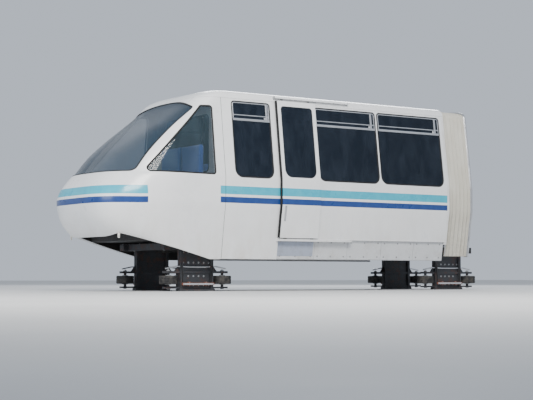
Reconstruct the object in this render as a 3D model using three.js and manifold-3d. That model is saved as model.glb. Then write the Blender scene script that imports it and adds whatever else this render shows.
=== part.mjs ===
// Lead car of a small straddle-beam monorail train.
// Millimetres, +X to the nose, +Y to the left side, +Z up. Z = 0 is the underside of the bogie landing shoes.
// Inside this file X is measured from the rear wall plane; the whole group is shifted by -X_MID at the end,
// so that the origin is at the middle of the length, on the floor.
import * as THREE from "three";
import { mergeVertices } from "three/addons/utils/BufferGeometryUtils.js";
import Module from "manifold-3d";

const wasm = await Module();
wasm.setup();

// ---------------------------------------------------------------- driving dimensions
const GAP = 0.4;               // gap between touching pieces
const WALL = 40;               // moulded wall, as thick as the whole wall
const Z_SKIRT = 430;           // skirt bottom
const Z_LEDGE = 705;           // side moulding ends here behind the door edge
const Z_FLOOR_LOW = 670;       // floor panel underside
const Z_FLOOR = 730;           // floor panel top
const Z_SPLIT = 2600;          // joint between walls and roof
const Z_SILL = 1530;           // window sill
const Z_WINTOP = 2565;         // window head
const X_REAR_WALL = 40;        // rear bulkhead thickness
const X_LEDGE_END = 3058;      // ledge and recessed skirt end at the door's front edge
const X_SEAM = 3954;           // joint between side walls and nose moulding
const X_NOSE = 5715;           // nose tip
const X_FLOOR_END = 5026;      // cab floor ends at the front bulkhead
const SKIRT_IN = 30;           // skirt recess
const SKIRT_T = 10;            // skirt thickness
const GLASS_IN = 5;            // glass set back from the outer face
const GLASS_T = 8;             // glass thickness
const DOOR = { x0: 2414, x1: 3058, z0: 723, z1: 2618, gap: 8, out: 42, nose: 26 };
const DOORWAY = { x0: 2466, x1: 3017, z0: 742, z1: 2575 };
const DOOR_TRAVEL = 590;
const RAIL = { x0: 1819, x1: 3094, t: 48 };
// side windows, both sides: name, rear edge, front edge
const WINDOWS = [["rear_window", 100, 1283], ["middle_window", 1323, 2402], ["front_window", 3169, 3789]];
const WINDOW_R = [110, 110, 45, 45];   // side window corners: bottom, bottom, top, top
const QUARTER = [[4103, 1550], [5135, 1560], [4290, 2440], [4262, 2475], [4103, 2475]];   // x, z of the quarter glass corners
const WINDSCREEN = { z0: 1560, z1: 2455, hw0: 805, hw1: 790, r: 45, crown: 120 };   // crown: rise of the top edge at the middle
const REAR_GLASS = { hw: 420, z0: 1600, z1: 2400, r: 60 };
const BOGIE_X = { front: 4180, rear: -285 };
const BELLOWS = { x0: -452, x1: -3, z0: 500 };

// Body sections by height. z height, hw half-width, xc front on the centre line, len length of the front
// curve, m and n its powers, k front thickness factor, dz and dh how far an inward offset lowers and narrows it
const LEVELS = [
  //  z    hw    xc   len   m     n    k    dz    dh
  [ 430,  884, 5050,  700, 2.50, 3.5, 1.0, 0, 1],
  [ 560,  904, 5240,  800, 2.50, 3.6, 1.0, 0, 1],
  [ 640,  916, 5350,  860, 2.50, 3.7, 1.0, 0, 1],
  [ 780,  937, 5550,  960, 2.50, 3.9, 1.0, 0, 1],
  [1000,  970, 5685, 1010, 2.50, 4.0, 1.0, 0, 1],
  [1200, 1000, 5715, 1030, 2.40, 4.0, 1.0, 0, 1],
  [1310, 1000, 5690, 1030, 2.30, 3.9, 1.1, 0, 1],
  [1430, 1000, 5620, 1010, 2.10, 3.7, 1.3, 0, 1],
  [1520, 1000, 5550,  980, 2.00, 3.5, 1.6, 0, 1],
  [1560,  995, 5515,  950, 1.90, 3.4, 1.8, 0, 1],
  [1820,  961, 5285,  780, 1.85, 3.6, 1.8, 0, 1],
  [2080,  928, 4950,  540, 1.80, 4.5, 1.8, 0, 1],
  [2320,  897, 4600,  330, 1.80, 6.0, 1.8, 0, 1],
  [2500,  874, 4370,  300, 2.00, 7.0, 1.8, 0, 1],
  [2560,  866, 4310,  270, 2.00, 7.0, 1.5, 0.05, 1],
  [2620,  857, 4240,  250, 2.00, 7.0, 1.2, 0.2, 0.98],
  [2662,  836, 4160,  240, 2.00, 7.0, 1.0, 0.6, 0.8],
  [2700,  782, 4060,  230, 2.00, 7.0, 1.0, 0.93, 0.4],
  [2730,  620, 3900,  220, 2.00, 6.5, 1.0, 1, 0.1],
  [2748,  320, 3680,  200, 2.00, 5.0, 1.0, 1, 0],
];
const FRONT_STEPS = 8;         // steps of the front curve, each side

// ---------------------------------------------------------------- colours
const LOOK = {
  white: [0xf4f5f4, 0.3, 0], skirt: [0xd9dcde, 0.4, 0], steel: [0x34363a, 0.6, 0.5], alu: [0xb9bec4, 0.4, 0.8],
  glass: [0x27313c, 0.1, 0], rubber: [0x161616, 0.85, 0], grey: [0x7d8288, 0.6, 0], blue: [0x1f3f82, 0.8, 0],
  beige: [0xd8d2c2, 0.9, 0], rust: [0x6e3426, 0.7, 0.1], tyre: [0x1d1d1e, 0.9, 0], motor: [0x3f464c, 0.5, 0.4],
};

// ---------------------------------------------------------------- solid helpers
function toSolid(geometry) {
  const g = geometry.clone();
  g.deleteAttribute("normal");
  if (g.getAttribute("uv")) g.deleteAttribute("uv");
  const merged = mergeVertices(g, 1e-3);
  const pos = merged.getAttribute("position");
  const idx = merged.index.array;
  const tri = [];
  for (let i = 0; i < idx.length; i += 3)
    if (idx[i] !== idx[i + 1] && idx[i + 1] !== idx[i + 2] && idx[i] !== idx[i + 2]) tri.push(idx[i], idx[i + 1], idx[i + 2]);
  const solid = new wasm.Manifold(new wasm.Mesh({
    numProp: 3, vertProperties: new Float32Array(pos.array), triVerts: new Uint32Array(tri) }));
  return solid;
}
function toGeometry(solid) {
  const mesh = solid.getMesh();
  const g = new THREE.BufferGeometry();
  const n = mesh.numProp, v = mesh.vertProperties, p = new Float32Array(v.length / n * 3);
  for (let i = 0; i < v.length / n; i++) { p[3 * i] = v[n * i]; p[3 * i + 1] = v[n * i + 1]; p[3 * i + 2] = v[n * i + 2]; }
  g.setAttribute("position", new THREE.BufferAttribute(p, 3));
  g.setIndex(new THREE.BufferAttribute(new Uint32Array(mesh.triVerts), 1));
  g.computeVertexNormals();
  return g;
}
function box(x0, x1, y0, y1, z0, z1) {
  const g = new THREE.BoxGeometry(x1 - x0, y1 - y0, z1 - z0);
  g.translate((x0 + x1) / 2, (y0 + y1) / 2, (z0 + z1) / 2);
  return toSolid(g);
}
// polygon in XZ, extruded along Y from y0 to y1
function prismY(points, y0, y1) {
  const s = points instanceof THREE.Shape ? points : new THREE.Shape(points.map(([x, z]) => new THREE.Vector2(x, z)));
  const g = new THREE.ExtrudeGeometry(s, { depth: y1 - y0, bevelEnabled: false, curveSegments: 5 });
  g.rotateX(Math.PI / 2);
  g.translate(0, y1, 0);
  return toSolid(g);
}
// polygon in YZ, extruded along X from x0 to x1
function prismX(points, x0, x1) {
  const s = points instanceof THREE.Shape ? points : new THREE.Shape(points.map(([y, z]) => new THREE.Vector2(y, z)));
  const g = new THREE.ExtrudeGeometry(s, { depth: x1 - x0, bevelEnabled: false, curveSegments: 5 });
  g.applyMatrix4(new THREE.Matrix4().set(0, 0, 1, x0, 1, 0, 0, 0, 0, 1, 0, 0, 0, 0, 0, 1));
  return toSolid(g);
}
// polygon with rounded corners; r is one radius, or one for each corner
function rounded(points, r) {
  const s = new THREE.Shape(), n = points.length;
  const P = points.map(([a, b]) => new THREE.Vector2(a, b));
  for (let i = 0; i < n; i++) {
    const a = P[(i + n - 1) % n], b = P[i], c = P[(i + 1) % n];
    const u = a.clone().sub(b), v = c.clone().sub(b);
    const q = Math.min(Array.isArray(r) ? r[i] : r, u.length() * 0.48, v.length() * 0.48);
    u.normalize().multiplyScalar(q).add(b);
    v.normalize().multiplyScalar(q).add(b);
    if (i === 0) s.moveTo(u.x, u.y); else s.lineTo(u.x, u.y);
    s.quadraticCurveTo(b.x, b.y, v.x, v.y);
  }
  s.closePath();
  return s;
}
const rect = (a0, a1, b0, b1, r) => rounded([[a0, b0], [a1, b0], [a1, b1], [a0, b1]], r);
// closed profile [radius, height] turned about Z
function turned(profile, segments) {
  const g = new THREE.LatheGeometry(profile.map(([r, h]) => new THREE.Vector2(r, h)), segments);
  g.rotateX(Math.PI / 2);                 // lathe's Y axis becomes Z
  let s = toSolid(g);
  if (s.volume() < 0) {                    // profile given the other way round
    const h = new THREE.LatheGeometry(profile.slice().reverse().map(([r, z]) => new THREE.Vector2(r, z)), segments);
    h.rotateX(Math.PI / 2);
    s = toSolid(h);
  }
  return s;
}
const turnZtoY = (s) => s.rotate([-90, 0, 0]);
const turnZtoX = (s) => s.rotate([0, 90, 0]);
const rod = (r, z0, z1, seg = 16) => turned([[0, z0], [r, z0], [r, z1], [0, z1]], seg);

// The body envelope, offset inward by off, from x = rear to the nose; low adds a level below the first
function envelope(off, rear, low = null) {
  const rows = LEVELS.map(([z, hw, xc, len, m, n, k, dz, dh]) => [z - off * dz, hw - off * dh, xc - off * k, len, m, n]);
  if (low !== null) {
    const [, hw, xc, len, m, n] = rows[0];
    rows.unshift([low, hw - (LEVELS[0][0] - low) * 0.15, xc, len, m, n]);
  }
  const ring = ([z, hw, xc, len, m, n]) => {
    const half = [];
    for (let i = 0; i <= FRONT_STEPS; i++) {
      const t = (i / FRONT_STEPS) * Math.PI / 2;
      half.push([xc - len + len * Math.pow(Math.sin(t), 2 / m), hw * Math.pow(Math.max(0, Math.cos(t)), 2 / n), z]);
    }
    half[FRONT_STEPS][1] = 0;
    const right = half.map(([x, y, zz]) => [x, -y, zz]);
    return [[rear, -hw, z], ...right, ...half.slice(0, FRONT_STEPS).reverse(), [rear, hw, z]];
  };
  const rings = rows.map(ring), count = rings[0].length, pos = [], idx = [];
  for (const r of rings) for (const p of r) pos.push(...p);
  for (let j = 0; j + 1 < rings.length; j++)
    for (let i = 0; i < count; i++) {
      const a = j * count + i, b = j * count + (i + 1) % count, c = b + count, d = a + count;
      idx.push(a, b, c, a, c, d);
    }
  const cap = (j, up) => {
    const flat = rings[j].map(([x, y]) => new THREE.Vector2(x, y));
    for (const [a, b, c] of THREE.ShapeUtils.triangulateShape(flat, []))
      idx.push(j * count + (up ? a : c), j * count + b, j * count + (up ? c : a));
  };
  cap(0, false);
  cap(rings.length - 1, true);
  const g = new THREE.BufferGeometry();
  g.setAttribute("position", new THREE.Float32BufferAttribute(pos, 3));
  g.setIndex(idx);
  return toSolid(g);
}
// piece of the wall between two offsets, inside a box
const skin = (off0, off1, b, rear = -600) => envelope(off0, rear, 300).subtract(envelope(off1, rear - 50, 250)).intersect(box(...b));

// ---------------------------------------------------------------- the scene graph
const car = new THREE.Group();
function add(name, solid, look) {
  if (solid.isEmpty()) throw new Error("empty " + name);
  const [color, roughness, metalness] = LOOK[look];
  const mesh = new THREE.Mesh(toGeometry(solid), new THREE.MeshStandardMaterial({ color, roughness, metalness }));
  mesh.name = name;
  car.add(mesh);
  return mesh;
}
const BIG = 3000;
const SIDES = [["left", 1], ["right", -1]];
const half = (s) => (s > 0 ? [1, BIG] : [-BIG, -1]);      // y limits of one side, clear of the centre

// ---------------------------------------------------------------- body shell
const innerAll = envelope(WALL + GAP, -700, 300);          // limits for what stands inside the walls
const shell = envelope(0, 0).subtract(envelope(WALL, -100, 300));

// under-nose cut-out, seen from the side: full depth behind, rising to a peak, chin in front
const underNose = prismY([[4130, 300], [4130, Z_SKIRT], [5380, 770], [5450, 715], [6300, 715], [6300, 300]], -BIG, BIG);
// windscreen outline in YZ, drawn in by g all round, its top edge bowed upward
const windscreenLoop = (g) => {
  const w = WINDSCREEN, top = [];
  for (let y = 600; y >= -600; y -= 200) top.push([y, w.z1 - g + w.crown * (1 - Math.pow(Math.abs(y) / w.hw1, 2.5))]);
  return rounded([[-w.hw0 + g, w.z0 + g], [w.hw0 - g, w.z0 + g], [w.hw1 - g, w.z1 - g], ...top, [-w.hw1 + g, w.z1 - g]], w.r);
};
const windscreenHole = prismX(windscreenLoop(0), 3960, 6500);
const quarterHole = (s) => prismY(rounded(QUARTER, 40), s > 0 ? 300 : -BIG, s > 0 ? BIG : -300);
const windowHole = (x0, x1, s) => prismY(rect(x0, x1, Z_SILL, Z_WINTOP, WINDOW_R), s > 0 ? 300 : -BIG, s > 0 ? BIG : -300);

add("nose_shell", shell.intersect(box(X_SEAM + GAP, 7000, -BIG, BIG, 0, Z_SPLIT - GAP))
  .subtract(underNose).subtract(windscreenHole).subtract(quarterHole(1)).subtract(quarterHole(-1)), "white");
add("roof_shell", shell.intersect(box(0, 7000, -BIG, BIG, Z_SPLIT, 3000)), "white");
for (const [side, s] of SIDES) {
  const [y0, y1] = half(s);
  let wall = shell.intersect(box(X_REAR_WALL + GAP, X_SEAM, y0, y1, 0, Z_SPLIT - GAP))
    .subtract(box(-100, X_LEDGE_END, y0, y1, 0, Z_LEDGE));
  // bottom door guide, proud of the ledge
  wall = wall.add(skin(-RAIL.t, 10, [RAIL.x0, RAIL.x1, y0, y1, 684, 715], 0));
  for (const [, a, b] of WINDOWS) wall = wall.subtract(windowHole(a, b, s));
  wall = wall.subtract(prismY(rect(DOORWAY.x0, DOORWAY.x1, DOORWAY.z0, DOORWAY.z1, 60), s > 0 ? 300 : -BIG, s > 0 ? BIG : -300));
  add("side_wall_" + side, wall, "white");
  add("skirt_" + side, skin(SKIRT_IN, SKIRT_IN + SKIRT_T, [X_REAR_WALL + GAP, X_LEDGE_END - GAP, y0, y1, Z_SKIRT, Z_LEDGE - GAP], 0), "skirt");
}
// rear bulkhead, open for the rear glass and for the pivot arm
const ARM = { hw: 90, z0: 890, z1: 960 };
add("rear_bulkhead", envelope(0, 0).intersect(box(0, X_REAR_WALL, -BIG, BIG, Z_FLOOR_LOW, Z_SPLIT - GAP))
  .add(innerAll.intersect(box(0, X_REAR_WALL, -BIG, BIG, Z_SPLIT - 30, 3000)))
  .subtract(prismX(rect(-REAR_GLASS.hw, REAR_GLASS.hw, REAR_GLASS.z0, REAR_GLASS.z1, REAR_GLASS.r), -100, 200))
  .subtract(box(-100, 200, -ARM.hw - GAP, ARM.hw + GAP, ARM.z0 - GAP, ARM.z1 + GAP)), "white");

// ---------------------------------------------------------------- floor frame with wheel housing and pivot arm
{
  const bx = BOGIE_X.front, HX0 = bx - 500, HX1 = bx + 360, HY = 450, HT = 20, HZ = 1030;
  let floor = innerAll.intersect(box(X_REAR_WALL + GAP, X_FLOOR_END, -BIG, BIG, Z_FLOOR_LOW, Z_FLOOR));
  floor = floor.add(box(HX0 - HT, HX1 + HT, -HY - HT, HY + HT, Z_FLOOR_LOW, HZ));
  floor = floor.subtract(box(HX0, HX1, -HY, HY, 0, HZ - HT));
  floor = floor.add(box(HX0 - HT, HX1 + HT, -ARM.hw, ARM.hw, ARM.z0, ARM.z1));            // front pivot beam
  floor = floor.add(box(X_REAR_WALL + 260, X_REAR_WALL + 300, -ARM.hw, ARM.hw, Z_FLOOR, ARM.z1));
  floor = floor.add(box(BOGIE_X.rear - 80, X_REAR_WALL + 300, -ARM.hw, ARM.hw, ARM.z0, ARM.z1)); // rear pivot arm
  for (const s of [1, -1])                                                                // chassis sills between the bogies
    floor = floor.add(box(330, 3610, s > 0 ? 640 : -790, s > 0 ? 790 : -640, 560, Z_FLOOR_LOW + 5));
  floor = floor.add(innerAll.intersect(box(X_FLOOR_END - 20, X_FLOOR_END, -BIG, BIG, Z_FLOOR_LOW, 1500))); // front bulkhead
  add("floor_frame", floor, "steel");
}

// ---------------------------------------------------------------- glazing
const pane = (hole, rear = 0) => envelope(GLASS_IN, rear, 300).subtract(envelope(GLASS_IN + GLASS_T, rear - 50, 250)).intersect(hole);
add("windscreen", pane(prismX(windscreenLoop(GAP), 3960, 6500)), "glass");
const QC = QUARTER.reduce(([a, b], [x, z]) => [a + x / QUARTER.length, b + z / QUARTER.length], [0, 0]);
for (const [side, s] of SIDES) {
  const lim = s > 0 ? [300, BIG] : [-BIG, -300];
  const q = QUARTER.map(([x, z]) => [QC[0] + (x - QC[0]) * 0.9982, QC[1] + (z - QC[1]) * 0.9975]);
  add("quarter_glass_" + side, pane(prismY(rounded(q, 40), ...lim)), "glass");
  for (const [name, a, b] of WINDOWS)
    add(name + "_" + side, pane(prismY(rect(a + GAP, b - GAP, Z_SILL + GAP, Z_WINTOP - GAP, WINDOW_R), ...lim)), "glass");
}
add("back_glass", prismX(rect(-REAR_GLASS.hw + GAP, REAR_GLASS.hw - GAP, REAR_GLASS.z0 + GAP, REAR_GLASS.z1 - GAP, REAR_GLASS.r), 16, 24), "glass");

// ---------------------------------------------------------------- sliding doors, hung outside the wall
for (const [side, s] of SIDES) {
  const [y0, y1] = half(s), lim = s > 0 ? [300, BIG] : [-BIG, -300];
  const win = (g) => prismY(rounded([[DOOR.x0 + 58 + g, 1552 + g], [DOOR.x1 - 52 - g, 1552 + g],
    [DOOR.x1 - 52 - g, 2545 - g], [DOOR.x0 + 58 + g, 2545 - g]], WINDOW_R), ...lim);
  add("door_" + side, skin(-DOOR.out, -DOOR.gap, [DOOR.x0, DOOR.x1, y0, y1, DOOR.z0, DOOR.z1], 0).subtract(win(0)), "white");
  add("door_glass_" + side, skin(-DOOR.out + 6, -DOOR.out + 6 + GLASS_T, [DOOR.x0, DOOR.x1, y0, y1, DOOR.z0, DOOR.z1], 0).intersect(win(GAP)), "glass");
  add("door_edge_" + side, skin(-DOOR.out + 2, -DOOR.gap - 2, [DOOR.x1 + GAP, DOOR.x1 + DOOR.nose, y0, y1, DOOR.z0 + 4, DOOR.z1 - 4], 0), "rubber");
  add("door_rail_" + side, skin(-RAIL.t, -GAP, [RAIL.x0, RAIL.x1, y0, y1, DOOR.z1 + 8, DOOR.z1 + 46], 0), "white");
}

// ---------------------------------------------------------------- cab and cabin fittings
add("cab_partition", innerAll.intersect(box(3931, 3953, -BIG, BIG, Z_FLOOR + GAP, 2585))
  .subtract(box(3600, 4600, -471, 471, 0, 1031))
  .subtract(prismX(rect(-560, 560, 1620, 2400, 60), 3800, 4100)), "grey");
add("driver_desk", prismY([[5004, Z_FLOOR + GAP], [5004, 1480], [4877, 1480], [4719, 1370], [4737, 1320], [4886, 1280], [4886, Z_FLOOR + GAP]], -640, 640), "grey");
add("driver_seat_base", box(4130, 4360, -420, 420, 1030 + GAP, 1120), "steel");
add("driver_seat_pad", prismY(rounded([[4000, 1120 + GAP], [4440, 1120 + GAP], [4440, 1225], [4120, 1225], [4080, 2010], [4000, 2010]], 25), -560, 560), "blue");
// benches: name, x low, x high, back at low or high x, y low, y high, base foot x low, x high
const BENCHES = [
  ["rear", 62, 560, "low", -850, 850, 380, 535],
  ["middle", 1665, 2155, "high", -850, 300, 1695, 2125],
  ["front", 3440, 3925, "high", -850, 850, 3600, 3650],
];
for (const [name, x0, x1, back, y0, y1, f0, f1] of BENCHES) {
  const B = 1040, C = 1165, T = 1760, D = 110;
  let base = box(f0, f1, y0 + 20, y1 - 20, Z_FLOOR + GAP, B).add(box(x0 + 10, x1 - 10, y0 + 10, y1 - 10, B - 9, B));
  base = base.intersect(innerAll);
  add("bench_" + name + "_base", base, "grey");
  const low = [[x0, B + GAP], [x1, B + GAP], [x1, C], [x0 + D, C], [x0 + D - 30, T], [x0, T]];
  const pts = back === "low" ? low : low.map(([x, z]) => [x0 + x1 - x, z]);
  add("bench_" + name + "_pad", prismY(rounded(pts, 28), y0, y1), "blue");
}

// ---------------------------------------------------------------- gangway
add("bellows", skin(22, 82, [BELLOWS.x0, BELLOWS.x1, -BIG, BIG, BELLOWS.z0, 3000], -700), "beige");
add("gangway_frame", skin(10, 92, [BELLOWS.x0 - 22, BELLOWS.x0 - GAP, -BIG, BIG, BELLOWS.z0 - 8, 3000], -700), "alu");

// ---------------------------------------------------------------- bogies
const AXLE_Z = 745, WHEEL_R = 225, GW = { x: 421, y: 600, z: 150, r: 125, w: 116, pin: 20 };
function bogieFrame() {
  let f = box(-495, 495, 520, 620, 550, 640).add(box(-495, 495, -620, -520, 550, 640));     // side beams
  for (const s of [1, -1]) f = f.add(box(s > 0 ? 340 : -420, s > 0 ? 420 : -340, -620, 620, 550, 640)); // cross beams
  f = f.add(box(-420, 420, -90, 90, 555, 635));                                              // middle carrier
  f = f.add(box(-112, 112, -100, 100, 600, 862)).add(rod(62, 860, 884, 16));                 // axle housing and pivot boss
  f = f.subtract(turnZtoY(rod(36.4, -300, 300, 20)).translate([0, 0, AXLE_Z]));
  for (const s of [1, -1]) {
    const y = (a, b) => (s > 0 ? [a, b] : [-b, -a]);
    f = f.add(box(-262, 262, ...y(590, 612), 0, 640));                                       // hanger plate
    for (const x of [-235, 235]) f = f.add(box(x - 22, x + 22, ...y(562, 642), 0, 640));   // ribs
    f = f.add(box(-275, 275, ...y(545, 655), 0, 28));                                        // landing shoe
    f = f.add(box(-495, 495, ...y(570, 630), 238, 268)).add(box(-495, 495, ...y(570, 630), 34, 58)); // upper and lower bars
    for (const x of [-GW.x, GW.x]) f = f.add(rod(GW.pin, 45, 250, 12).translate([x, s * GW.y, 0]));
  }
  return f;
}
const wheelset = () => {
  // half of the profile: radius, distance from the middle
  const side = [[34, 132], [64, 140], [122, 152], [205, 156], [WHEEL_R, 188], [WHEEL_R, 296], [205, 328], [122, 330],
    [112, 285], [66, 272], [60, 345], [34, 352]];
  const prof = [[0, -356], ...side.slice().reverse().map(([r, h]) => [r, -h]), ...side, [0, 356]];
  return turnZtoY(turned(prof, 24));
};
const guideWheel = () => {
  const h = GW.w / 2, b = GW.pin + 1.2;
  return turned([[b, -h - 6], [40, -h - 6], [44, -h + 8], [80, -h + 6], [112, -h], [GW.r, -h + 14], [GW.r, h - 14],
    [112, h], [80, h - 6], [44, h - 8], [40, h + 6], [b, h + 6], [b, -h - 6]], 18);
};
const motor = () => turnZtoX(turned([[0, -425], [70, -425], [84, -412], [84, -380], [104, -372], [104, -150], [86, -140], [86, -113], [0, -113]], 18));
function collector(s) {
  const y = (a, b) => (s > 0 ? [a, b] : [-b, -a]);
  return box(-250, 250, ...y(664, 686), 78, 112).add(box(-150, -110, ...y(642.6, 670), 66, 124)).add(box(110, 150, ...y(642.6, 670), 66, 124));
}
for (const [end, bx] of Object.entries(BOGIE_X)) {
  const at = (name, solid, look, x = 0, y = 0, z = 0) => {
    const m = add(end + "_" + name, solid, look);
    m.position.set(bx + x, y, z);
  };
  at("bogie_frame", bogieFrame(), "steel");
  at("wheelset", wheelset(), "tyre", 0, 0, AXLE_Z);
  at("motor", motor(), "motor", 0, 0, AXLE_Z);
  for (const [side, s] of SIDES) {
    at("collector_" + side, collector(s), "rust");
    at("guide_wheel_fore_" + side, guideWheel(), "tyre", GW.x, s * GW.y, GW.z);
    at("guide_wheel_aft_" + side, guideWheel(), "tyre", -GW.x, s * GW.y, GW.z);
  }
}

// origin at the middle of the length
const X_MIN = BOGIE_X.rear - GW.x - GW.r;
const X_MID = (X_NOSE + X_MIN) / 2;
car.position.x = -X_MID;
export default car;
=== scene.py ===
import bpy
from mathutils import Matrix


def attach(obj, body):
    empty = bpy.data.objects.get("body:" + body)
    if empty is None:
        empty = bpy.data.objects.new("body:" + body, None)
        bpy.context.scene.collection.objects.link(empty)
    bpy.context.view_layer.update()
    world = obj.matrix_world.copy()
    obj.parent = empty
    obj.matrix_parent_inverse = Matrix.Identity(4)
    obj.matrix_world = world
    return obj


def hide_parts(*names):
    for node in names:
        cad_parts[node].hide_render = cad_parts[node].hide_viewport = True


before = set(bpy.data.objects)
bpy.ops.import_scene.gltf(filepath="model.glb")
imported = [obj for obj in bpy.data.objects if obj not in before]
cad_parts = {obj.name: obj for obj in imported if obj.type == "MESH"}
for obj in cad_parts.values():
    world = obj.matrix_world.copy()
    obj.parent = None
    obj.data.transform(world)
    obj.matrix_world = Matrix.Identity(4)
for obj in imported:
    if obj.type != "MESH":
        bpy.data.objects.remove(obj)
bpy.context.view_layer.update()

import math
import random

import bpy
import bmesh
import numpy as np
from mathutils import Matrix, Vector

random.seed(7)

# ------------------------------------------------------------------ sizes, millimetres from the rear wall plane
XM = 2442.0                      # the row frame's origin in these X values
BIG = 3000.0
Z_SKIRT, Z_LEDGE, Z_SPLIT, Z_FLOOR = 430, 705, 2600, 730
X_LEDGE_END, X_SEAM, X_NOSE = 3058, 3954, 5715
DOOR = dict(x0=2414, x1=3058, z0=723, z1=2618, gap=8, out=42, nose=26)
DOORWAY = dict(x0=2466, x1=3017, z0=742, z1=2575)
RAIL = dict(x0=1819, x1=3094, t=48)
SILL, WINTOP = 1530, 2565
WINDOWS = (("rear_window", 100, 1283), ("middle_window", 1323, 2402), ("front_window", 3169, 3789))
RB, RT = 110, 45                 # window corner radii, bottom and top
QUARTER = ((4103, 1550), (5135, 1560), (4290, 2440), (4262, 2475), (4103, 2475))
WS = dict(z0=1560, z1=2455, hw0=805, hw1=790, r=45, crown=120)
BACK = dict(hw=420, z0=1600, z1=2400, r=60)
BOGIES = (("front", 4180), ("rear", -285))
AXLE_Z, WHEEL_R = 745, 225
GW = dict(x=421, y=600, z=150, r=125, w=116, pin=20)

# z height, hw half-width, xc front on the centre line, len length of the front curve, m and n its powers,
# k front thickness factor, dz and dh how far an inward offset lowers and narrows it
LEVELS = np.array([
    (430, 884, 5050, 700, 2.5, 3.5, 1, 0, 1),
    (560, 904, 5240, 800, 2.5, 3.6, 1, 0, 1),
    (640, 916, 5350, 860, 2.5, 3.7, 1, 0, 1),
    (780, 937, 5550, 960, 2.5, 3.9, 1, 0, 1),
    (1000, 970, 5685, 1010, 2.5, 4, 1, 0, 1),
    (1200, 1000, 5715, 1030, 2.4, 4, 1, 0, 1),
    (1310, 1000, 5690, 1030, 2.3, 3.9, 1.1, 0, 1),
    (1430, 1000, 5620, 1010, 2.1, 3.7, 1.3, 0, 1),
    (1520, 1000, 5550, 980, 2, 3.5, 1.6, 0, 1),
    (1560, 995, 5515, 950, 1.9, 3.4, 1.8, 0, 1),
    (1820, 961, 5285, 780, 1.85, 3.6, 1.8, 0, 1),
    (2080, 928, 4950, 540, 1.8, 4.5, 1.8, 0, 1),
    (2320, 897, 4600, 330, 1.8, 6, 1.8, 0, 1),
    (2500, 874, 4370, 300, 2, 7, 1.8, 0, 1),
    (2560, 866, 4310, 270, 2, 7, 1.5, 0.05, 1),
    (2620, 857, 4240, 250, 2, 7, 1.2, 0.2, 0.98),
    (2662, 836, 4160, 240, 2, 7, 1, 0.6, 0.8),
    (2700, 782, 4060, 230, 2, 7, 1, 0.93, 0.4),
    (2730, 620, 3900, 220, 2, 6.5, 1, 1, 0.1),
    (2748, 320, 3680, 200, 2, 5, 1, 1, 0)], float)
SUB = 4                          # smooth rows between two of these
FRONT, SIDE_N = 40, 22           # points round the front curve and along the straight side


# ------------------------------------------------------------------ the smooth body surface
def pchip(x, y, xq):
    h, d = np.diff(x), np.diff(y) / np.diff(x)
    m = np.zeros_like(y)
    for i in range(1, len(x) - 1):
        if d[i - 1] * d[i] > 0:
            w1, w2 = 2 * h[i] + h[i - 1], h[i] + 2 * h[i - 1]
            m[i] = (w1 + w2) / (w1 / d[i - 1] + w2 / d[i])
    m[0], m[-1] = d[0], d[-1]
    k = np.clip(np.searchsorted(x, xq, side="right") - 1, 0, len(x) - 2)
    t = (xq - x[k]) / h[k]
    return ((2 * t**3 - 3 * t**2 + 1) * y[k] + (t**3 - 2 * t**2 + t) * h[k] * m[k]
            + (-2 * t**3 + 3 * t**2) * y[k + 1] + (t**3 - t**2) * h[k] * m[k + 1])


_s = np.concatenate([[0], np.cumsum(np.hypot(np.diff(LEVELS[:, 0]), np.diff(LEVELS[:, 1])))])
_q = np.concatenate([np.linspace(_s[i], _s[i + 1], SUB, endpoint=False) for i in range(len(_s) - 1)] + [[_s[-1]]])
DENSE = np.column_stack([pchip(_s, LEVELS[:, c], _q) for c in range(9)])


def rows(off, low=None):
    """z, hw, xc, len, m, n of every row of the surface moved inward by off"""
    d = DENSE
    r = np.column_stack([d[:, 0] - off * d[:, 7], d[:, 1] - off * d[:, 8], d[:, 2] - off * d[:, 6], d[:, 3], d[:, 4], d[:, 5]])
    if low is not None:
        first = r[0].copy()
        first[0], first[1] = low, first[1] - (LEVELS[0, 0] - low) * 0.15
        r = np.vstack([first, r])
    cap = []
    for f in (0.7, 0.4, 0.12):
        c = r[-1].copy()
        c[1] *= f
        c[2] -= (1 - f) * 60
        cap.append(c)
    return np.vstack([r] + cap)


def row_at(z, off=0.0):
    r = rows(off)[:len(DENSE)]
    return [np.interp(z, r[:, 0], r[:, c]) for c in range(6)]


def side_y(x, z, off=0.0):
    _, hw, xc, ln, m, n = row_at(z, off)
    u = max(0.0, (x - (xc - ln)) / ln)
    return hw * max(0.0, 1 - min(1.0, u) ** m) ** (1 / n)


def front_x(y, z, off=0.0):
    _, hw, xc, ln, m, n = row_at(z, off)
    return xc - ln + ln * max(0.0, 1 - min(1.0, abs(y) / hw) ** n) ** (1 / m)


def side_normal(x, z, s, off=0.0):
    e = 4.0
    dx = (side_y(x + e, z, off) - side_y(x - e, z, off)) / (2 * e)
    dz = (side_y(x, z + e, off) - side_y(x, z - e, off)) / (2 * e)
    return Vector((-dx, s * 1.0, -dz)).normalized()


def front_normal(y, z, off=0.0):
    e = 4.0
    dy = (front_x(y + e, z, off) - front_x(y - e, z, off)) / (2 * e)
    dz = (front_x(y, z + e, off) - front_x(y, z - e, off)) / (2 * e)
    return Vector((1.0, -dy, -dz)).normalized()


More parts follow.
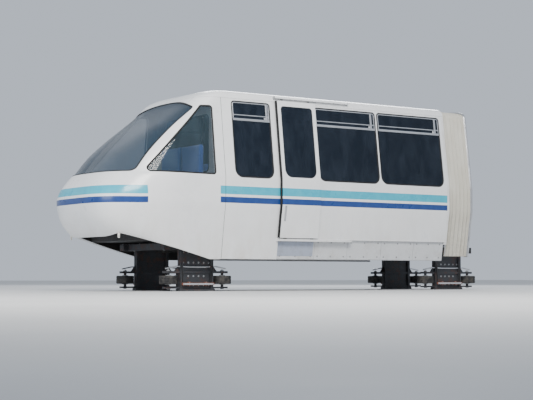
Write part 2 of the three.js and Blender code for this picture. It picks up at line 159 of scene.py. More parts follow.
def half_ring(z, hw, xc, ln, m, n, rear):
    t = np.linspace(0, math.pi / 2, 500)
    X = xc - ln + ln * np.sin(t) ** (2 / m)
    Y = hw * np.clip(np.cos(t), 0, None) ** (2 / n)
    Y[-1] = 0
    ds = np.hypot(np.diff(X), np.diff(Y))
    ang = np.unwrap(np.arctan2(np.diff(Y), np.diff(X)))
    turn = np.concatenate([[0], np.abs(np.diff(ang))])
    p = np.concatenate([[0], np.cumsum(ds / ds.sum() + turn / max(turn.sum(), 1e-9))])
    q = np.linspace(0, p[-1], FRONT + 1)
    fx, fy = np.interp(q, p, X), np.interp(q, p, Y)
    sx = np.linspace(rear, xc - ln, SIDE_N, endpoint=False)
    return np.concatenate([sx, fx]), np.concatenate([np.full(SIDE_N, hw), fy])


def row(points):
    v = np.asarray(points, float)
    return np.column_stack([(v[:, 0] - XM) / 1000, v[:, 1] / 1000, v[:, 2] / 1000])


def new_mesh(name, verts, faces, mats=(), index=0):
    me = bpy.data.meshes.new(name)
    me.from_pydata([tuple(p) for p in row(verts)], [], faces)
    for m in mats:
        me.materials.append(m)
    if index:
        me.polygons.foreach_set("material_index", [index] * len(me.polygons))
    me.update()
    return me


def new_obj(name, me):
    o = bpy.data.objects.new(name, me)
    bpy.context.scene.collection.objects.link(o)
    return o


_env = {}


def envelope(off, rear, low, mats, index=0):
    key = (off, rear, low, tuple(m.name for m in mats), index)
    if key not in _env:
        verts, faces = [], []
        R = rows(off, low)
        for z, hw, xc, ln, m, n in R:
            X, Y = half_ring(z, hw, xc, ln, m, n, rear)
            for x, y in zip(X, -Y):
                verts.append((x, y, z))
            for x, y in zip(X[-2::-1], Y[-2::-1]):
                verts.append((x, y, z))
        c = 2 * (SIDE_N + FRONT + 1) - 1
        for j in range(len(R) - 1):
            for i in range(c):
                a, b = j * c + i, j * c + (i + 1) % c
                faces.append((a, b, b + c, a + c))
        faces.append(tuple(range(c - 1, -1, -1)))
        faces.append(tuple((len(R) - 1) * c + i for i in range(c)))
        _env[key] = new_mesh("env", verts, faces, mats, index)
    return new_obj("tmp", _env[key].copy())


def box_obj(x0, x1, y0, y1, z0, z1, mats=(), index=0):
    v = [(x, y, z) for z in (z0, z1) for y in (y0, y1) for x in (x0, x1)]
    f = [(0, 2, 3, 1), (4, 5, 7, 6), (0, 1, 5, 4), (2, 6, 7, 3), (0, 4, 6, 2), (1, 3, 7, 5)]
    return new_obj("tmp", new_mesh("box", v, f, mats, index))


def rounded(points, radius, steps=8):
    """closed polygon with rounded corners; radius is one number or one for each corner"""
    P = [Vector(p) for p in points]
    n, out = len(P), []
    rad = radius if hasattr(radius, "__len__") else [radius] * n
    for i in range(n):
        a, b, c = P[i - 1], P[i], P[(i + 1) % n]
        u, v = a - b, c - b
        r = rad[i]
        half = u.angle(v) / 2
        cut = min(r / math.tan(half), u.length * .48, v.length * .48)
        r = cut * math.tan(half)
        p0, p1 = b + u.normalized() * cut, b + v.normalized() * cut
        ctr = b + (u.normalized() + v.normalized()).normalized() * (r / math.sin(half))
        a0 = math.atan2(p0.y - ctr.y, p0.x - ctr.x)
        a1 = math.atan2(p1.y - ctr.y, p1.x - ctr.x)
        d = (a1 - a0 + math.pi) % (2 * math.pi) - math.pi
        for k in range(steps + 1):
            t = a0 + d * k / steps
            out.append((ctr.x + r * math.cos(t), ctr.y + r * math.sin(t)))
    return out


def subdivide(loop, step):
    """the same closed loop with no edge longer than step"""
    out = []
    for i, p in enumerate(loop):
        q = loop[(i + 1) % len(loop)]
        k = max(1, math.ceil(math.dist(p, q) / step))
        out += [tuple(p[c] + (q[c] - p[c]) * j / k for c in range(len(p))) for j in range(k)]
    return out


def prism_obj(loop, a0, a1, axis, mats=(), index=0):
    """2D loop extruded along axis 'y' (loop is X, Z) or 'x' (loop is Y, Z)"""
    area = sum(p[0] * q[1] - q[0] * p[1] for p, q in zip(loop, loop[1:] + loop[:1]))
    if (area > 0) == (axis == "y"):
        loop = loop[::-1]
    n = len(loop)
    put = (lambda p, a: (p[0], a, p[1])) if axis == "y" else (lambda p, a: (a, p[0], p[1]))
    v = [put(p, a0) for p in loop] + [put(p, a1) for p in loop]
    f = [tuple(range(n - 1, -1, -1)), tuple(range(n, 2 * n))] + [(i, (i + 1) % n, n + (i + 1) % n, n + i) for i in range(n)]
    return new_obj("tmp", new_mesh("prism", v, f, mats, index))


def boolean(obj, cutter, op="DIFFERENCE", keep=False):
    m = obj.modifiers.new("b", "BOOLEAN")
    m.operation, m.solver, m.object = op, "MANIFOLD", cutter
    dg = bpy.context.evaluated_depsgraph_get()
    me = bpy.data.meshes.new_from_object(obj.evaluated_get(dg))
    obj.modifiers.clear()
    old, obj.data = obj.data, me
    bpy.data.meshes.remove(old)
    if not keep:
        bpy.data.objects.remove(cutter)
    return obj


def finish_mesh(o, name, body, replaces=(), angle=32):
    o.name = o.data.name = name
    o.data.shade_smooth()
    o.data.set_sharp_from_angle(angle=math.radians(angle))
    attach(o, body)
    if replaces:
        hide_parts(*replaces)
    return o


# ------------------------------------------------------------------ materials, all from nodes in the object's own space
class Mat:
    def __init__(self, name):
        self.m = bpy.data.materials.new(name)
        self.m.use_nodes = True
        self.nt = self.m.node_tree
        self.bsdf = self.nt.nodes["Principled BSDF"]
        self.pos = self.nt.nodes.new("ShaderNodeTexCoord").outputs["Object"]
        self._xyz = None

    def put(self, socket, value):
        if isinstance(value, bpy.types.NodeSocket):
            self.nt.links.new(value, socket)
        else:
            if socket.type == "RGBA" and len(value) == 3:
                value = (*value, 1)
            socket.default_value = value

    def node(self, kind, *args, **props):
        n = self.nt.nodes.new("ShaderNode" + kind)
        for k, v in props.items():
            setattr(n, k, v)
        for i, a in enumerate(args):
            if a is not None:
                self.put(n.inputs[i], a)
        return n

    def math(self, op, a, b=None, c=None, clamp=False):
        return self.node("Math", a, b, c, operation=op, use_clamp=clamp).outputs[0]

    @property
    def xyz(self):
        if self._xyz is None:
            self._xyz = self.node("SeparateXYZ", self.pos).outputs
        return self._xyz

    def noise(self, scale, detail=3, rough=.5, stretch=(1, 1, 1), lo=None, hi=None):
        v = self.pos
        if stretch != (1, 1, 1):
            v = self.node("Mapping", self.pos).outputs[0]
            v.node.inputs["Scale"].default_value = stretch
        n = self.node("TexNoise")
        self.put(n.inputs["Vector"], v)
        n.inputs["Scale"].default_value, n.inputs["Detail"].default_value, n.inputs["Roughness"].default_value = scale, detail, rough
        out = n.outputs["Fac"]
        return out if lo is None else self.ramp(out, lo, hi)

    def ramp(self, x, a, b, lo=0.0, hi=1.0):
        n = self.node("MapRange", x, a, b, lo, hi, clamp=True)
        return n.outputs[0]

    def mix(self, f, a, b):
        n = self.node("Mix", data_type="RGBA")
        self.put(n.inputs[0], f)
        self.put(n.inputs[6], a)
        self.put(n.inputs[7], b)
        return n.outputs[2]

    def band(self, x, lo, hi, soft=.0008):
        up = self.ramp(x, self.sub(lo, soft), self.add(lo, soft))
        dn = self.ramp(x, self.sub(hi, soft), self.add(hi, soft), 1.0, 0.0)
        return self.math("MULTIPLY", up, dn)

    def add(self, a, b):
        return a + b if not isinstance(a, bpy.types.NodeSocket) else self.math("ADD", a, b)

    def sub(self, a, b):
        return a - b if not isinstance(a, bpy.types.NodeSocket) else self.math("SUBTRACT", a, b)

    def bump(self, *terms):
        """terms are (height, distance in metres); each adds its own relief"""
        last = None
        for h, d in terms:
            n = self.node("Bump")
            n.inputs["Strength"].default_value = 1.0
            n.inputs["Distance"].default_value = d
            self.put(n.inputs["Height"], h)
            if last is not None:
                self.put(n.inputs["Normal"], last)
            last = n.outputs[0]
        self.put(self.bsdf.inputs["Normal"], last)

    def set(self, **kw):
        names = dict(color="Base Color", rough="Roughness", metal="Metallic", alpha="Alpha", coat="Coat Weight",
                     coat_rough="Coat Roughness", spec="Specular IOR Level", sheen="Sheen Weight", ior="IOR", sheen_rough="Sheen Roughness")
        for k, v in kw.items():
            self.put(self.bsdf.inputs[names[k]], v)
        return self


def gelcoat():
    m = Mat("gelcoat_white")
    x, y, z = m.xyz
    front = m.ramp(x, 1.58, 2.78)                                   # 0 along the side, 1 on the nose
    drop = m.math("MULTIPLY", front, .034)
    zz = m.add(z, drop)
    cyan = m.band(zz, 1.292, 1.402)
    navy = m.band(zz, 1.176, 1.256)
    bare = m.band(x, 1.593, 2.670, .001)                           # stripes stop here on both sides
    on = m.math("SUBTRACT", 1.0, bare)
    cyan, navy = m.math("MULTIPLY", cyan, on), m.math("MULTIPLY", navy, on)
    cloud = m.noise(2.2, 4, .55)
    white = m.mix(m.ramp(cloud, .35, .7), (.83, .84, .85), (.88, .885, .89))
    # painted shade and painted warm reflection: the white turns tan towards the bottom, broken up by noise
    grime_and_shade = m.noise(5.0, 6, .62, (1, 1, .35))
    low = m.ramp(z, 1.15, .42)
    painted_low_shade = m.math("MULTIPLY", low, m.ramp(grime_and_shade, .38, .72))
    streak = m.noise(26, 3, .6, (1, 1, .05), .54, .78)
    streak = m.math("MULTIPLY", streak, m.ramp(z, 2.72, 1.5))
    color = m.mix(m.math("MULTIPLY", painted_low_shade, .55), white, (.60, .56, .50))
    color = m.mix(m.math("MULTIPLY", streak, .10), color, (.55, .55, .53))
    fade = m.noise(9, 3, .5, (1, 1, 1), .35, .7)
    color = m.mix(cyan, color, m.mix(fade, (.035, .40, .55), (.055, .46, .60)))
    color = m.mix(navy, color, m.mix(fade, (.010, .045, .20), (.015, .060, .25)))
    m.set(color=color, rough=m.ramp(m.math("ADD", cloud, painted_low_shade), .3, 1.4, .24, .5), coat=.35, coat_rough=.12)
    peel = m.noise(160, 2, .5)
    wave = m.noise(3.1, 2, .4)
    edge = m.math("ADD", cyan, navy)
    m.bump((peel, .00012), (wave, .0025), (edge, .0003))
    return m.m


def painted(name, a, b, rough=(.35, .6), scale=6, grime_and_shade=(.3, .28, .25), amount=.3, metal=0.0, grain=.0003):
    m = Mat(name)
    n1, n2 = m.noise(scale, 5, .6), m.noise(scale * 9, 3, .6)
    g = m.math("MULTIPLY", m.ramp(n1, .48, .78), amount)
    m.set(color=m.mix(g, m.mix(m.ramp(n2, .3, .7), a, b), grime_and_shade), rough=m.ramp(n1, .3, .75, *rough))
    if metal:
        m.set(metal=metal)
    m.bump((m.noise(220, 2, .5), grain), (n2, grain * 1.5))
    return m.m


def brushed(name, tone=(.72, .73, .75), stretch=(.02, 1, 1)):
    m = Mat(name)
    line = m.noise(420, 2, .6, stretch)
    smear = m.noise(8, 4, .6)
    m.set(color=m.mix(m.ramp(smear, .35, .75), tone, tuple(c * .8 for c in tone)), metal=.9,
          rough=m.ramp(m.math("ADD", line, smear), .7, 1.3, .22, .46))
    m.bump((line, .00008))
    return m.m


def rubber(name, tone=(.012, .012, .013), dust=(.10, .09, .08), amount=.25):
    m = Mat(name)
    n1, n2 = m.noise(18, 5, .65), m.noise(300, 2, .5)
    m.set(color=m.mix(m.math("MULTIPLY", m.ramp(n1, .42, .75), amount), tone, dust), rough=m.ramp(n1, .3, .7, .5, .85), spec=.35)
    m.bump((n2, .00025), (n1, .0004))
    return m.m


def tinted(name, tone, alpha, rough=.03, spec=.5, coat=.6):
    m = Mat(name)
    wob = m.noise(1.6, 2, .4)
    film = m.noise(7, 5, .6, (1, 1, .4))
    m.set(color=m.mix(m.ramp(film, .4, .8), tone, tuple(min(1, c * 1.5 + .01) for c in tone)),
          rough=m.ramp(film, .35, .8, rough, rough + .07), alpha=m.ramp(film, .3, .8, alpha, min(1, alpha + .08)),
          spec=spec, ior=1.45, coat=coat, coat_rough=.02)
    m.bump((wob, .0012))
    return m.m


def steel(name, tone=(.045, .047, .052), rust=(.16, .07, .035), amount=.35, dust=(.20, .18, .15), metal=.35):
    m = Mat(name)
    n1, n2, n3 = m.noise(11, 6, .65), m.noise(70, 4, .6), m.noise(4, 3, .5)
    r = m.math("MULTIPLY", m.ramp(m.math("ADD", n1, m.math("MULTIPLY", n2, .4)), .72, .92), amount)
    color = m.mix(r, m.mix(m.ramp(n2, .3, .7), tone, tuple(c * 1.5 for c in tone)), rust)
    up = m.node("SeparateXYZ", m.node("NewGeometry").outputs["Normal"]).outputs[2]
    settle = m.math("MULTIPLY", m.ramp(up, .5, 1.0), m.ramp(n3, .35, .7, .15, .5))
    color = m.mix(settle, color, dust)
    m.set(color=color, rough=m.ramp(n1, .3, .75, .42, .78), metal=metal)
    m.bump((n2, .0006), (m.noise(320, 2, .5), .0002))
    return m.m


def fabric(name, a, b, pitch=.0032, fleck=None):
    m = Mat(name)
    x, y, z = m.xyz
    k = 2 * math.pi / pitch
    w1 = m.math("SINE", m.math("MULTIPLY", m.math("ADD", y, m.math("MULTIPLY", x, .5)), k))
    w2 = m.math("SINE", m.math("MULTIPLY", m.math("ADD", z, m.math("MULTIPLY", x, .5)), k))
    weave = m.math("MULTIPLY", w1, w2)
    worn = m.noise(6, 4, .6)
    color = m.mix(m.ramp(weave, -.8, .8), a, b)
    color = m.mix(m.ramp(worn, .5, .8, 0, .35), color, tuple(min(1, c * 1.6 + .02) for c in a))
    if fleck:
        color = m.mix(m.noise(140, 2, .7, (1, 1, 1), .64, .7), color, fleck)
    m.set(color=color, rough=m.ramp(worn, .3, .7, .8, .95), sheen=.35, sheen_rough=.5, spec=.25)
    m.bump((weave, .0005), (m.noise(30, 3, .6), .0016))
    return m.m


def bellows_cloth():
    m = Mat("bellows_cloth")
    x, y, z = m.xyz
    k = 2 * math.pi / .006
    rib = m.math("SINE", m.math("MULTIPLY", m.math("ADD", z, m.math("MULTIPLY", y, .8)), k))
    n1, n2 = m.noise(3.5, 5, .6, (1, 1, .5)), m.noise(28, 3, .6)
    color = m.mix(m.ramp(n1, .35, .72), (.70, .685, .62), (.60, .575, .50))
    # darker towards the bottom, broken up by noise
    darker_low = m.math("MULTIPLY", m.ramp(z, 1.5, .45), m.ramp(n2, .35, .75, .1, .5))
    color = m.mix(darker_low, color, (.33, .30, .25))
    m.set(color=color, rough=m.ramp(n2, .3, .7, .72, .9), sheen=.15, spec=.3)
    m.bump((rib, .0004), (n2, .0018), (n1, .004))
    return m.m


def inner_wall():
    m = Mat("inner_wall")
    x, y, z = m.xyz
    n1, n2 = m.noise(3, 4, .6), m.noise(180, 3, .5)
    grey = m.mix(m.ramp(n1, .35, .7), (.30, .31, .32), (.36, .37, .37))
    # painted shade: near black inside the nose ahead of the bulkhead and below the floor, below the windows
    black = m.mix(n1, (.012, .012, .013), (.03, .028, .026))
    painted_shade_zone = m.math("MAXIMUM", m.ramp(x, 2.568, 2.572), m.ramp(z, .70, .69))    # ahead of the bulkhead, and below the floor
    painted_shade_zone = m.math("MULTIPLY", painted_shade_zone, m.ramp(z, 1.56, 1.5))
    m.set(color=m.mix(painted_shade_zone, grey, black), rough=m.ramp(n1, .3, .7, .5, .75))
    m.bump((n2, .0004))
    return m.m


def stage_floor():
    m = Mat("stage_floor")
    n1 = m.noise(.7, 4, .55)
    m.set(color=m.mix(m.ramp(n1, .3, .7), (.60, .60, .595), (.66, .66, .655)), rough=m.ramp(n1, .3, .7, .62, .8))
    m.bump((m.noise(60, 3, .5), .0006))
    return m.m


WHITE = gelcoat()
INNER = inner_wall()
BULK = painted("bulkhead_paint", (.80, .805, .80), (.84, .84, .835), (.3, .5), 4, (.50, .47, .42), .5, 0, .0004)
SKIRT = painted("skirt_paint", (.60, .61, .63), (.66, .67, .68), (.38, .6), 5, (.36, .33, .29), .45)
RUBBER = rubber("seal_rubber", amount=.12)
EDGE = rubber("edge_rubber", (.009, .009, .010), (.05, .05, .05), .2)
TYRE = rubber("tyre_rubber", (.018, .018, .019), (.16, .145, .125), .55)
GLASS = tinted("side_glass", (.006, .011, .020), .84, .03, .25, .12)
CAB_GLASS = tinted("cab_glass", (.05, .085, .11), .20, .03, .5, .25)
SCREEN = tinted("screen_glass", (.022, .045, .072), .52, .03, .45, .3)
ALU = brushed("aluminium")
ALU_Z = brushed("aluminium_upright", (.70, .71, .73), (1, 1, .02))
CHASSIS = steel("chassis_paint", (.035, .036, .038), (.13, .07, .04), .25, (.16, .14, .12), .2)
BOGIE = steel("bogie_paint", (.036, .038, .043), (.17, .065, .035), .5, (.19, .165, .13), .3)
BOLT = steel("bolt_zinc", (.30, .31, .32), (.22, .11, .06), .45, (.25, .22, .18), .8)
RUST = steel("collector_bar", (.18, .062, .036), (.10, .04, .03), .6, (.24, .17, .13), .0)
MOTOR = painted("motor_casting", (.085, .10, .115), (.11, .125, .14), (.4, .7), 9, (.05, .04, .03), .6, .3, .0008)
RIM = steel("rim_paint", (.22, .23, .24), (.15, .08, .05), .4, (.22, .2, .17), .3)
GREY = painted("interior_laminate", (.34, .35, .36), (.38, .39, .40), (.4, .6), 7, (.25, .24, .22), .2, 0, .0005)
DARK = painted("dark_plastic", (.022, .023, .026), (.03, .031, .034), (.45, .65), 9, (.06, .06, .06), .25, 0, .0005)
SEAT = fabric("seat_cloth", (.030, .085, .34), (.050, .130, .46), .004, (.14, .28, .60))
BELLOWS = bellows_cloth()
PATCH = painted("step_patch_paint", (.36, .40, .50), (.40, .44, .53), (.5, .7), 14, (.25, .25, .26), .5, 0, .001)
AMBER = painted("tab_white", (.82, .80, .74), (.86, .84, .78), (.3, .5), 20, (.5, .45, .4), .3)


# ------------------------------------------------------------------ sweeps, lathes and small parts
class Build:
    """collects geometry in millimetres for one object"""

    def __init__(self, *mats):
        self.v, self.f, self.i, self.mats = [], [], [], mats

    def add(self, verts, faces, mat=0):
        k = len(self.v)
        self.v += [tuple(p) for p in verts]
        self.f += [tuple(k + a for a in f) for f in faces]
        self.i += [mat] * len(faces)
        return self

    def sweep(self, path, normals, section, closed=True, mat=0, centre=None):
        """section is a closed list of (across, out); across points away from centre"""
        n, s = len(path), len(section)
        P = [Vector(p) for p in path]
        verts = []
        flip = None
        for i in range(n):
            a = P[(i - 1) % n] if closed or i > 0 else P[i]
            b = P[(i + 1) % n] if closed or i < n - 1 else P[i]
            t = (b - a).normalized()
            nrm = Vector(normals[i])
            nrm = (nrm - t * nrm.dot(t)).normalized()
            u = nrm.cross(t)
            if flip is None:
                flip = -1 if centre is not None and u.dot(P[i] - Vector(centre)) < 0 else 1
            u = u * flip
            verts += [P[i] + u * c + nrm * o for c, o in section]
        faces = []
        for i in range(n if closed else n - 1):
            for j in range(s):
                a, b = i * s + j, i * s + (j + 1) % s
                c, d = ((i + 1) % n) * s + (j + 1) % s, ((i + 1) % n) * s + j
                faces.append((a, b, c, d))
        if not closed:
            faces.append(tuple(range(s - 1, -1, -1)))
            faces.append(tuple((n - 1) * s + j for j in range(s)))
        return self.add(verts, faces, mat)

    def lathe(self, profile, centre, axis="z", seg=48, mat=0, closed=False):
        """profile is (radius, height); closed joins its ends, otherwise the ends lie on the axis or are capped"""
        c = Vector(centre)
        put = {"z": lambda r, h, a: (r * math.cos(a), r * math.sin(a), h), "y": lambda r, h, a: (r * math.sin(a), h, r * math.cos(a)),
               "x": lambda r, h, a: (h, r * math.cos(a), r * math.sin(a))}[axis]
        k = len(profile)
        verts = [c + Vector(put(r, h, 2 * math.pi * i / seg)) for i in range(seg) for r, h in profile]
        faces = [(i * k + j, ((i + 1) % seg) * k + j, ((i + 1) % seg) * k + (j + 1) % k, i * k + (j + 1) % k)
                 for i in range(seg) for j in range(k if closed else k - 1)]
        if not closed:
            faces.append(tuple(i * k for i in range(seg)))
            faces.append(tuple((seg - 1 - i) * k + k - 1 for i in range(seg)))
        return self.add(verts, faces, mat)

    def block(self, x0, x1, y0, y1, z0, z1, r=3.0, mat=0, turn=None):
        """box with chamfered edges; turn is (pivot, axis, angle)"""
        r = min(r, (x1 - x0) * .3, (y1 - y0) * .3, (z1 - z0) * .3)
        v, f = [], []
        c = ((x0 + x1) / 2, (y0 + y1) / 2, (z0 + z1) / 2)
        h = ((x1 - x0) / 2, (y1 - y0) / 2, (z1 - z0) / 2)
        idx = {}
        for sx in (-1, 1):
            for sy in (-1, 1):
                for sz in (-1, 1):
                    s = (sx, sy, sz)
                    for ax in range(3):
                        idx[s, ax] = len(v)
                        v.append([c[a] + s[a] * (h[a] if a == ax else h[a] - r) for a in range(3)])
        for ax in range(3):
            a1, a2 = (ax + 1) % 3, (ax + 2) % 3
            for s in (-1, 1):
                q = []
                for p1, p2 in ((-1, -1), (1, -1), (1, 1), (-1, 1)):
                    k = [0, 0, 0]
                    k[ax], k[a1], k[a2] = s, p1, p2
                    q.append(idx[tuple(k), ax])
                f.append(tuple(q if s > 0 else q[::-1]))
            for p1 in (-1, 1):
                for p2 in (-1, 1):
                    lo, hi = [0, 0, 0], [0, 0, 0]
                    lo[ax], hi[ax] = -1, 1
                    lo[a1] = hi[a1] = p1
                    lo[a2] = hi[a2] = p2
                    q = [idx[tuple(lo), a1], idx[tuple(hi), a1], idx[tuple(hi), a2], idx[tuple(lo), a2]]
                    f.append(tuple(q if p1 * p2 < 0 else q[::-1]))
        for s in [(a, b, d) for a in (-1, 1) for b in (-1, 1) for d in (-1, 1)]:
            q = [idx[s, 0], idx[s, 1], idx[s, 2]]
            f.append(tuple(q if s[0] * s[1] * s[2] > 0 else q[::-1]))
        if turn:
            m = Matrix.Rotation(turn[2], 4, turn[1])
            v = [Vector(turn[0]) + m @ (Vector(p) - Vector(turn[0])) for p in v]
        return self.add(v, f, mat)

    def prism(self, loop, a0, a1, axis="y", r=2.0, mat=0):
        """2D loop extruded with a chamfer all round; loop is (x,z), (y,z) or (x,y)"""
        area = sum(p[0] * q[1] - q[0] * p[1] for p, q in zip(loop, loop[1:] + loop[:1]))
        if area < 0:
            loop = loop[::-1]
        n = len(loop)
        P = [Vector(p) for p in loop]
        inner = []
        for i in range(n):
            d0, d1 = (P[i] - P[i - 1]).normalized(), (P[(i + 1) % n] - P[i]).normalized()
            n0, n1 = Vector((-d0.y, d0.x)), Vector((-d1.y, d1.x))
            b = (n0 + n1)
            inner.append(P[i] + b * (r / max(.3, b.dot(n1))))
        put = {"y": lambda p, a: (p[0], a, p[1]), "x": lambda p, a: (a, p[0], p[1]), "z": lambda p, a: (p[0], p[1], a)}[axis]
        rings = [(inner, a0), (P, a0 + r), (P, a1 - r), (inner, a1)]
        v = [put(p, a) for ring, a in rings for p in ring]
        f = [(j * n + i, j * n + (i + 1) % n, (j + 1) * n + (i + 1) % n, (j + 1) * n + i) for j in range(3) for i in range(n)]
        f += [tuple(range(n - 1, -1, -1)), tuple(range(3 * n, 4 * n))]
        if axis == "y":
            f = [q[::-1] for q in f]
        return self.add(v, f, mat)

    def bolt(self, at, axis="y", sign=1, r=11, h=8, mat=0):
        """hexagon head on a washer"""
        c = Vector(at)
        ax = {"x": 0, "y": 1, "z": 2}[axis]
        prof = [(r * 1.5, 0), (r * 1.5, 2), (r, 2), (r, h - 1.5), (r * .85, h), (0.3, h)]
        seg = 6
        self.lathe([(a, b * sign) for a, b in (prof if sign > 0 else prof)], c, axis, seg if r < 8 else 12, mat)
        return self

    def tube(self, path, r, seg=10, mat=0, closed=False):
        P = [Vector(p) for p in path]
        n = len(P)
        nrm = []
        ref = None
        for i in range(n):
            a = P[(i - 1) % n] if closed or i > 0 else P[i]
            b = P[(i + 1) % n] if closed or i < n - 1 else P[i]
            t = (b - a).normalized()
            if ref is None:
                ref = t.orthogonal().normalized()
            ref = (ref - t * ref.dot(t)).normalized()
            nrm.append(ref.copy())
        sec = [(r * math.cos(2 * math.pi * k / seg), r * math.sin(2 * math.pi * k / seg)) for k in range(seg)]
        return self.sweep(P, nrm, sec, closed, mat)

    def obj(self, name, body, slot=None, replaces=(), angle=32):
        me = bpy.data.meshes.new(name)
        me.from_pydata([tuple(p) for p in row(self.v)], [], self.f)
        for m in self.mats:
            me.materials.append(m)
        me.polygons.foreach_set("material_index", self.i)
        bm = bmesh.new()
        bm.from_mesh(me)
        bmesh.ops.recalc_face_normals(bm, faces=bm.faces)
        bm.to_mesh(me)
        bm.free()
        o = new_obj(name, me)
        return finish_mesh(o, name, body, replaces, angle)


def arc(p, r, a0, a1, n):
    return [(p[0] + r * math.cos(a0 + (a1 - a0) * i / n), p[1] + r * math.sin(a0 + (a1 - a0) * i / n)) for i in range(n + 1)]


def side_path(loop, s, off=0.0, step=35):
    """a loop of (X, Z) laid on the left (s=1) or right side: points and outward normals"""
    pts, nrm = [], []
    for x, z in subdivide(loop, step):
        pts.append((x, s * side_y(x, z, off), z))
        nrm.append(side_normal(x, z, s, off))
    return pts, nrm


def front_path(loop, off=0.0, step=35):
    pts, nrm = [], []
    for y, z in subdivide(loop, step):
        pts.append((front_x(y, z, off), y, z))
        nrm.append(front_normal(y, z, off))
    return pts, nrm


SIDES = (("left", 1), ("right", -1))
WIN = lambda x0, x1, z0, z1, g=0: rounded([(x0 + g, z0 + g), (x1 - g, z0 + g), (x1 - g, z1 - g), (x0 + g, z1 - g)],
                                           (max(4, RB - g), max(4, RB - g), max(4, RT - g), max(4, RT - g)))
SHELL = [WHITE, INNER]

# ------------------------------------------------------------------ body mouldings, dense and smooth, cut as the CAD nodes are
under_nose = [(4130, 300), (4130, Z_SKIRT), (5380, 770), (5450, 715), (6300, 715), (6300, 300)]


def ws_outline(g=0):
    """windscreen outline in Y, Z, drawn in by g, its top edge bowed upward"""
    top = [(y, WS["z1"] - g + WS["crown"] * (1 - (abs(y) / WS["hw1"]) ** 2.5)) for y in range(700, -701, -100)]
    return rounded([(-WS["hw0"] + g, WS["z0"] + g), (WS["hw0"] - g, WS["z0"] + g), (WS["hw1"] - g, WS["z1"] - g)] + top
                   + [(-WS["hw1"] + g, WS["z1"] - g)], [WS["r"]] * 3 + [60] * len(top) + [WS["r"]])


ws_loop = ws_outline()
q_loop = rounded(QUARTER, 40)


def shell_piece(x0, x1, y0, y1, z0, z1):
    o = envelope(0, 0, None, SHELL, 0)
    boolean(o, envelope(40, -100, 300, SHELL, 1))
    return boolean(o, box_obj(x0, x1, y0, y1, z0, z1, SHELL, 0), "INTERSECT")


def half(s):
    return (1, BIG) if s > 0 else (-BIG, -1)


nose = shell_piece(X_SEAM + 3, 7000, -BIG, BIG, 0, Z_SPLIT - 1)
boolean(nose, prism_obj(under_nose, -BIG, BIG, "y", SHELL))
boolean(nose, prism_obj(ws_loop, 3960, 6500, "x", SHELL))
for _, s in SIDES:
    boolean(nose, prism_obj(q_loop, 300 if s > 0 else -BIG, BIG if s > 0 else -300, "y", SHELL))
finish_mesh(nose, "nose_moulding", "car", ["nose_shell"])
roof = shell_piece(0, 7000, -BIG, BIG, Z_SPLIT + 1, 3000)
finish_mesh(roof, "roof_moulding", "car", ["roof_shell"])
for side, s in SIDES:
    y0, y1 = half(s)
    w = shell_piece(40.4, X_SEAM - 3, y0, y1, 0, Z_SPLIT - 1)
    boolean(w, box_obj(-100, X_LEDGE_END, y0, y1, 0, Z_LEDGE, SHELL))
    lim = (300, BIG) if s > 0 else (-BIG, -300)
    for _, a, b in WINDOWS:
        boolean(w, prism_obj(WIN(a, b, SILL, WINTOP), *lim, "y", SHELL))
    boolean(w, prism_obj(rounded([(DOORWAY["x0"], DOORWAY["z0"]), (DOORWAY["x1"], DOORWAY["z0"]), (DOORWAY["x1"], DOORWAY["z1"]),
                                  (DOORWAY["x0"], DOORWAY["z1"])], 60), *lim, "y", SHELL))
    finish_mesh(w, "side_moulding_" + side, "car", ["side_wall_" + side])


def skin(off0, off1, b, mats, rear=-600, i0=0, i1=1):
    o = envelope(off0, rear, 300, mats, i0)
    boolean(o, envelope(off1, rear - 50, 250, mats, i1))
    return boolean(o, box_obj(*b, mats, i0), "INTERSECT")


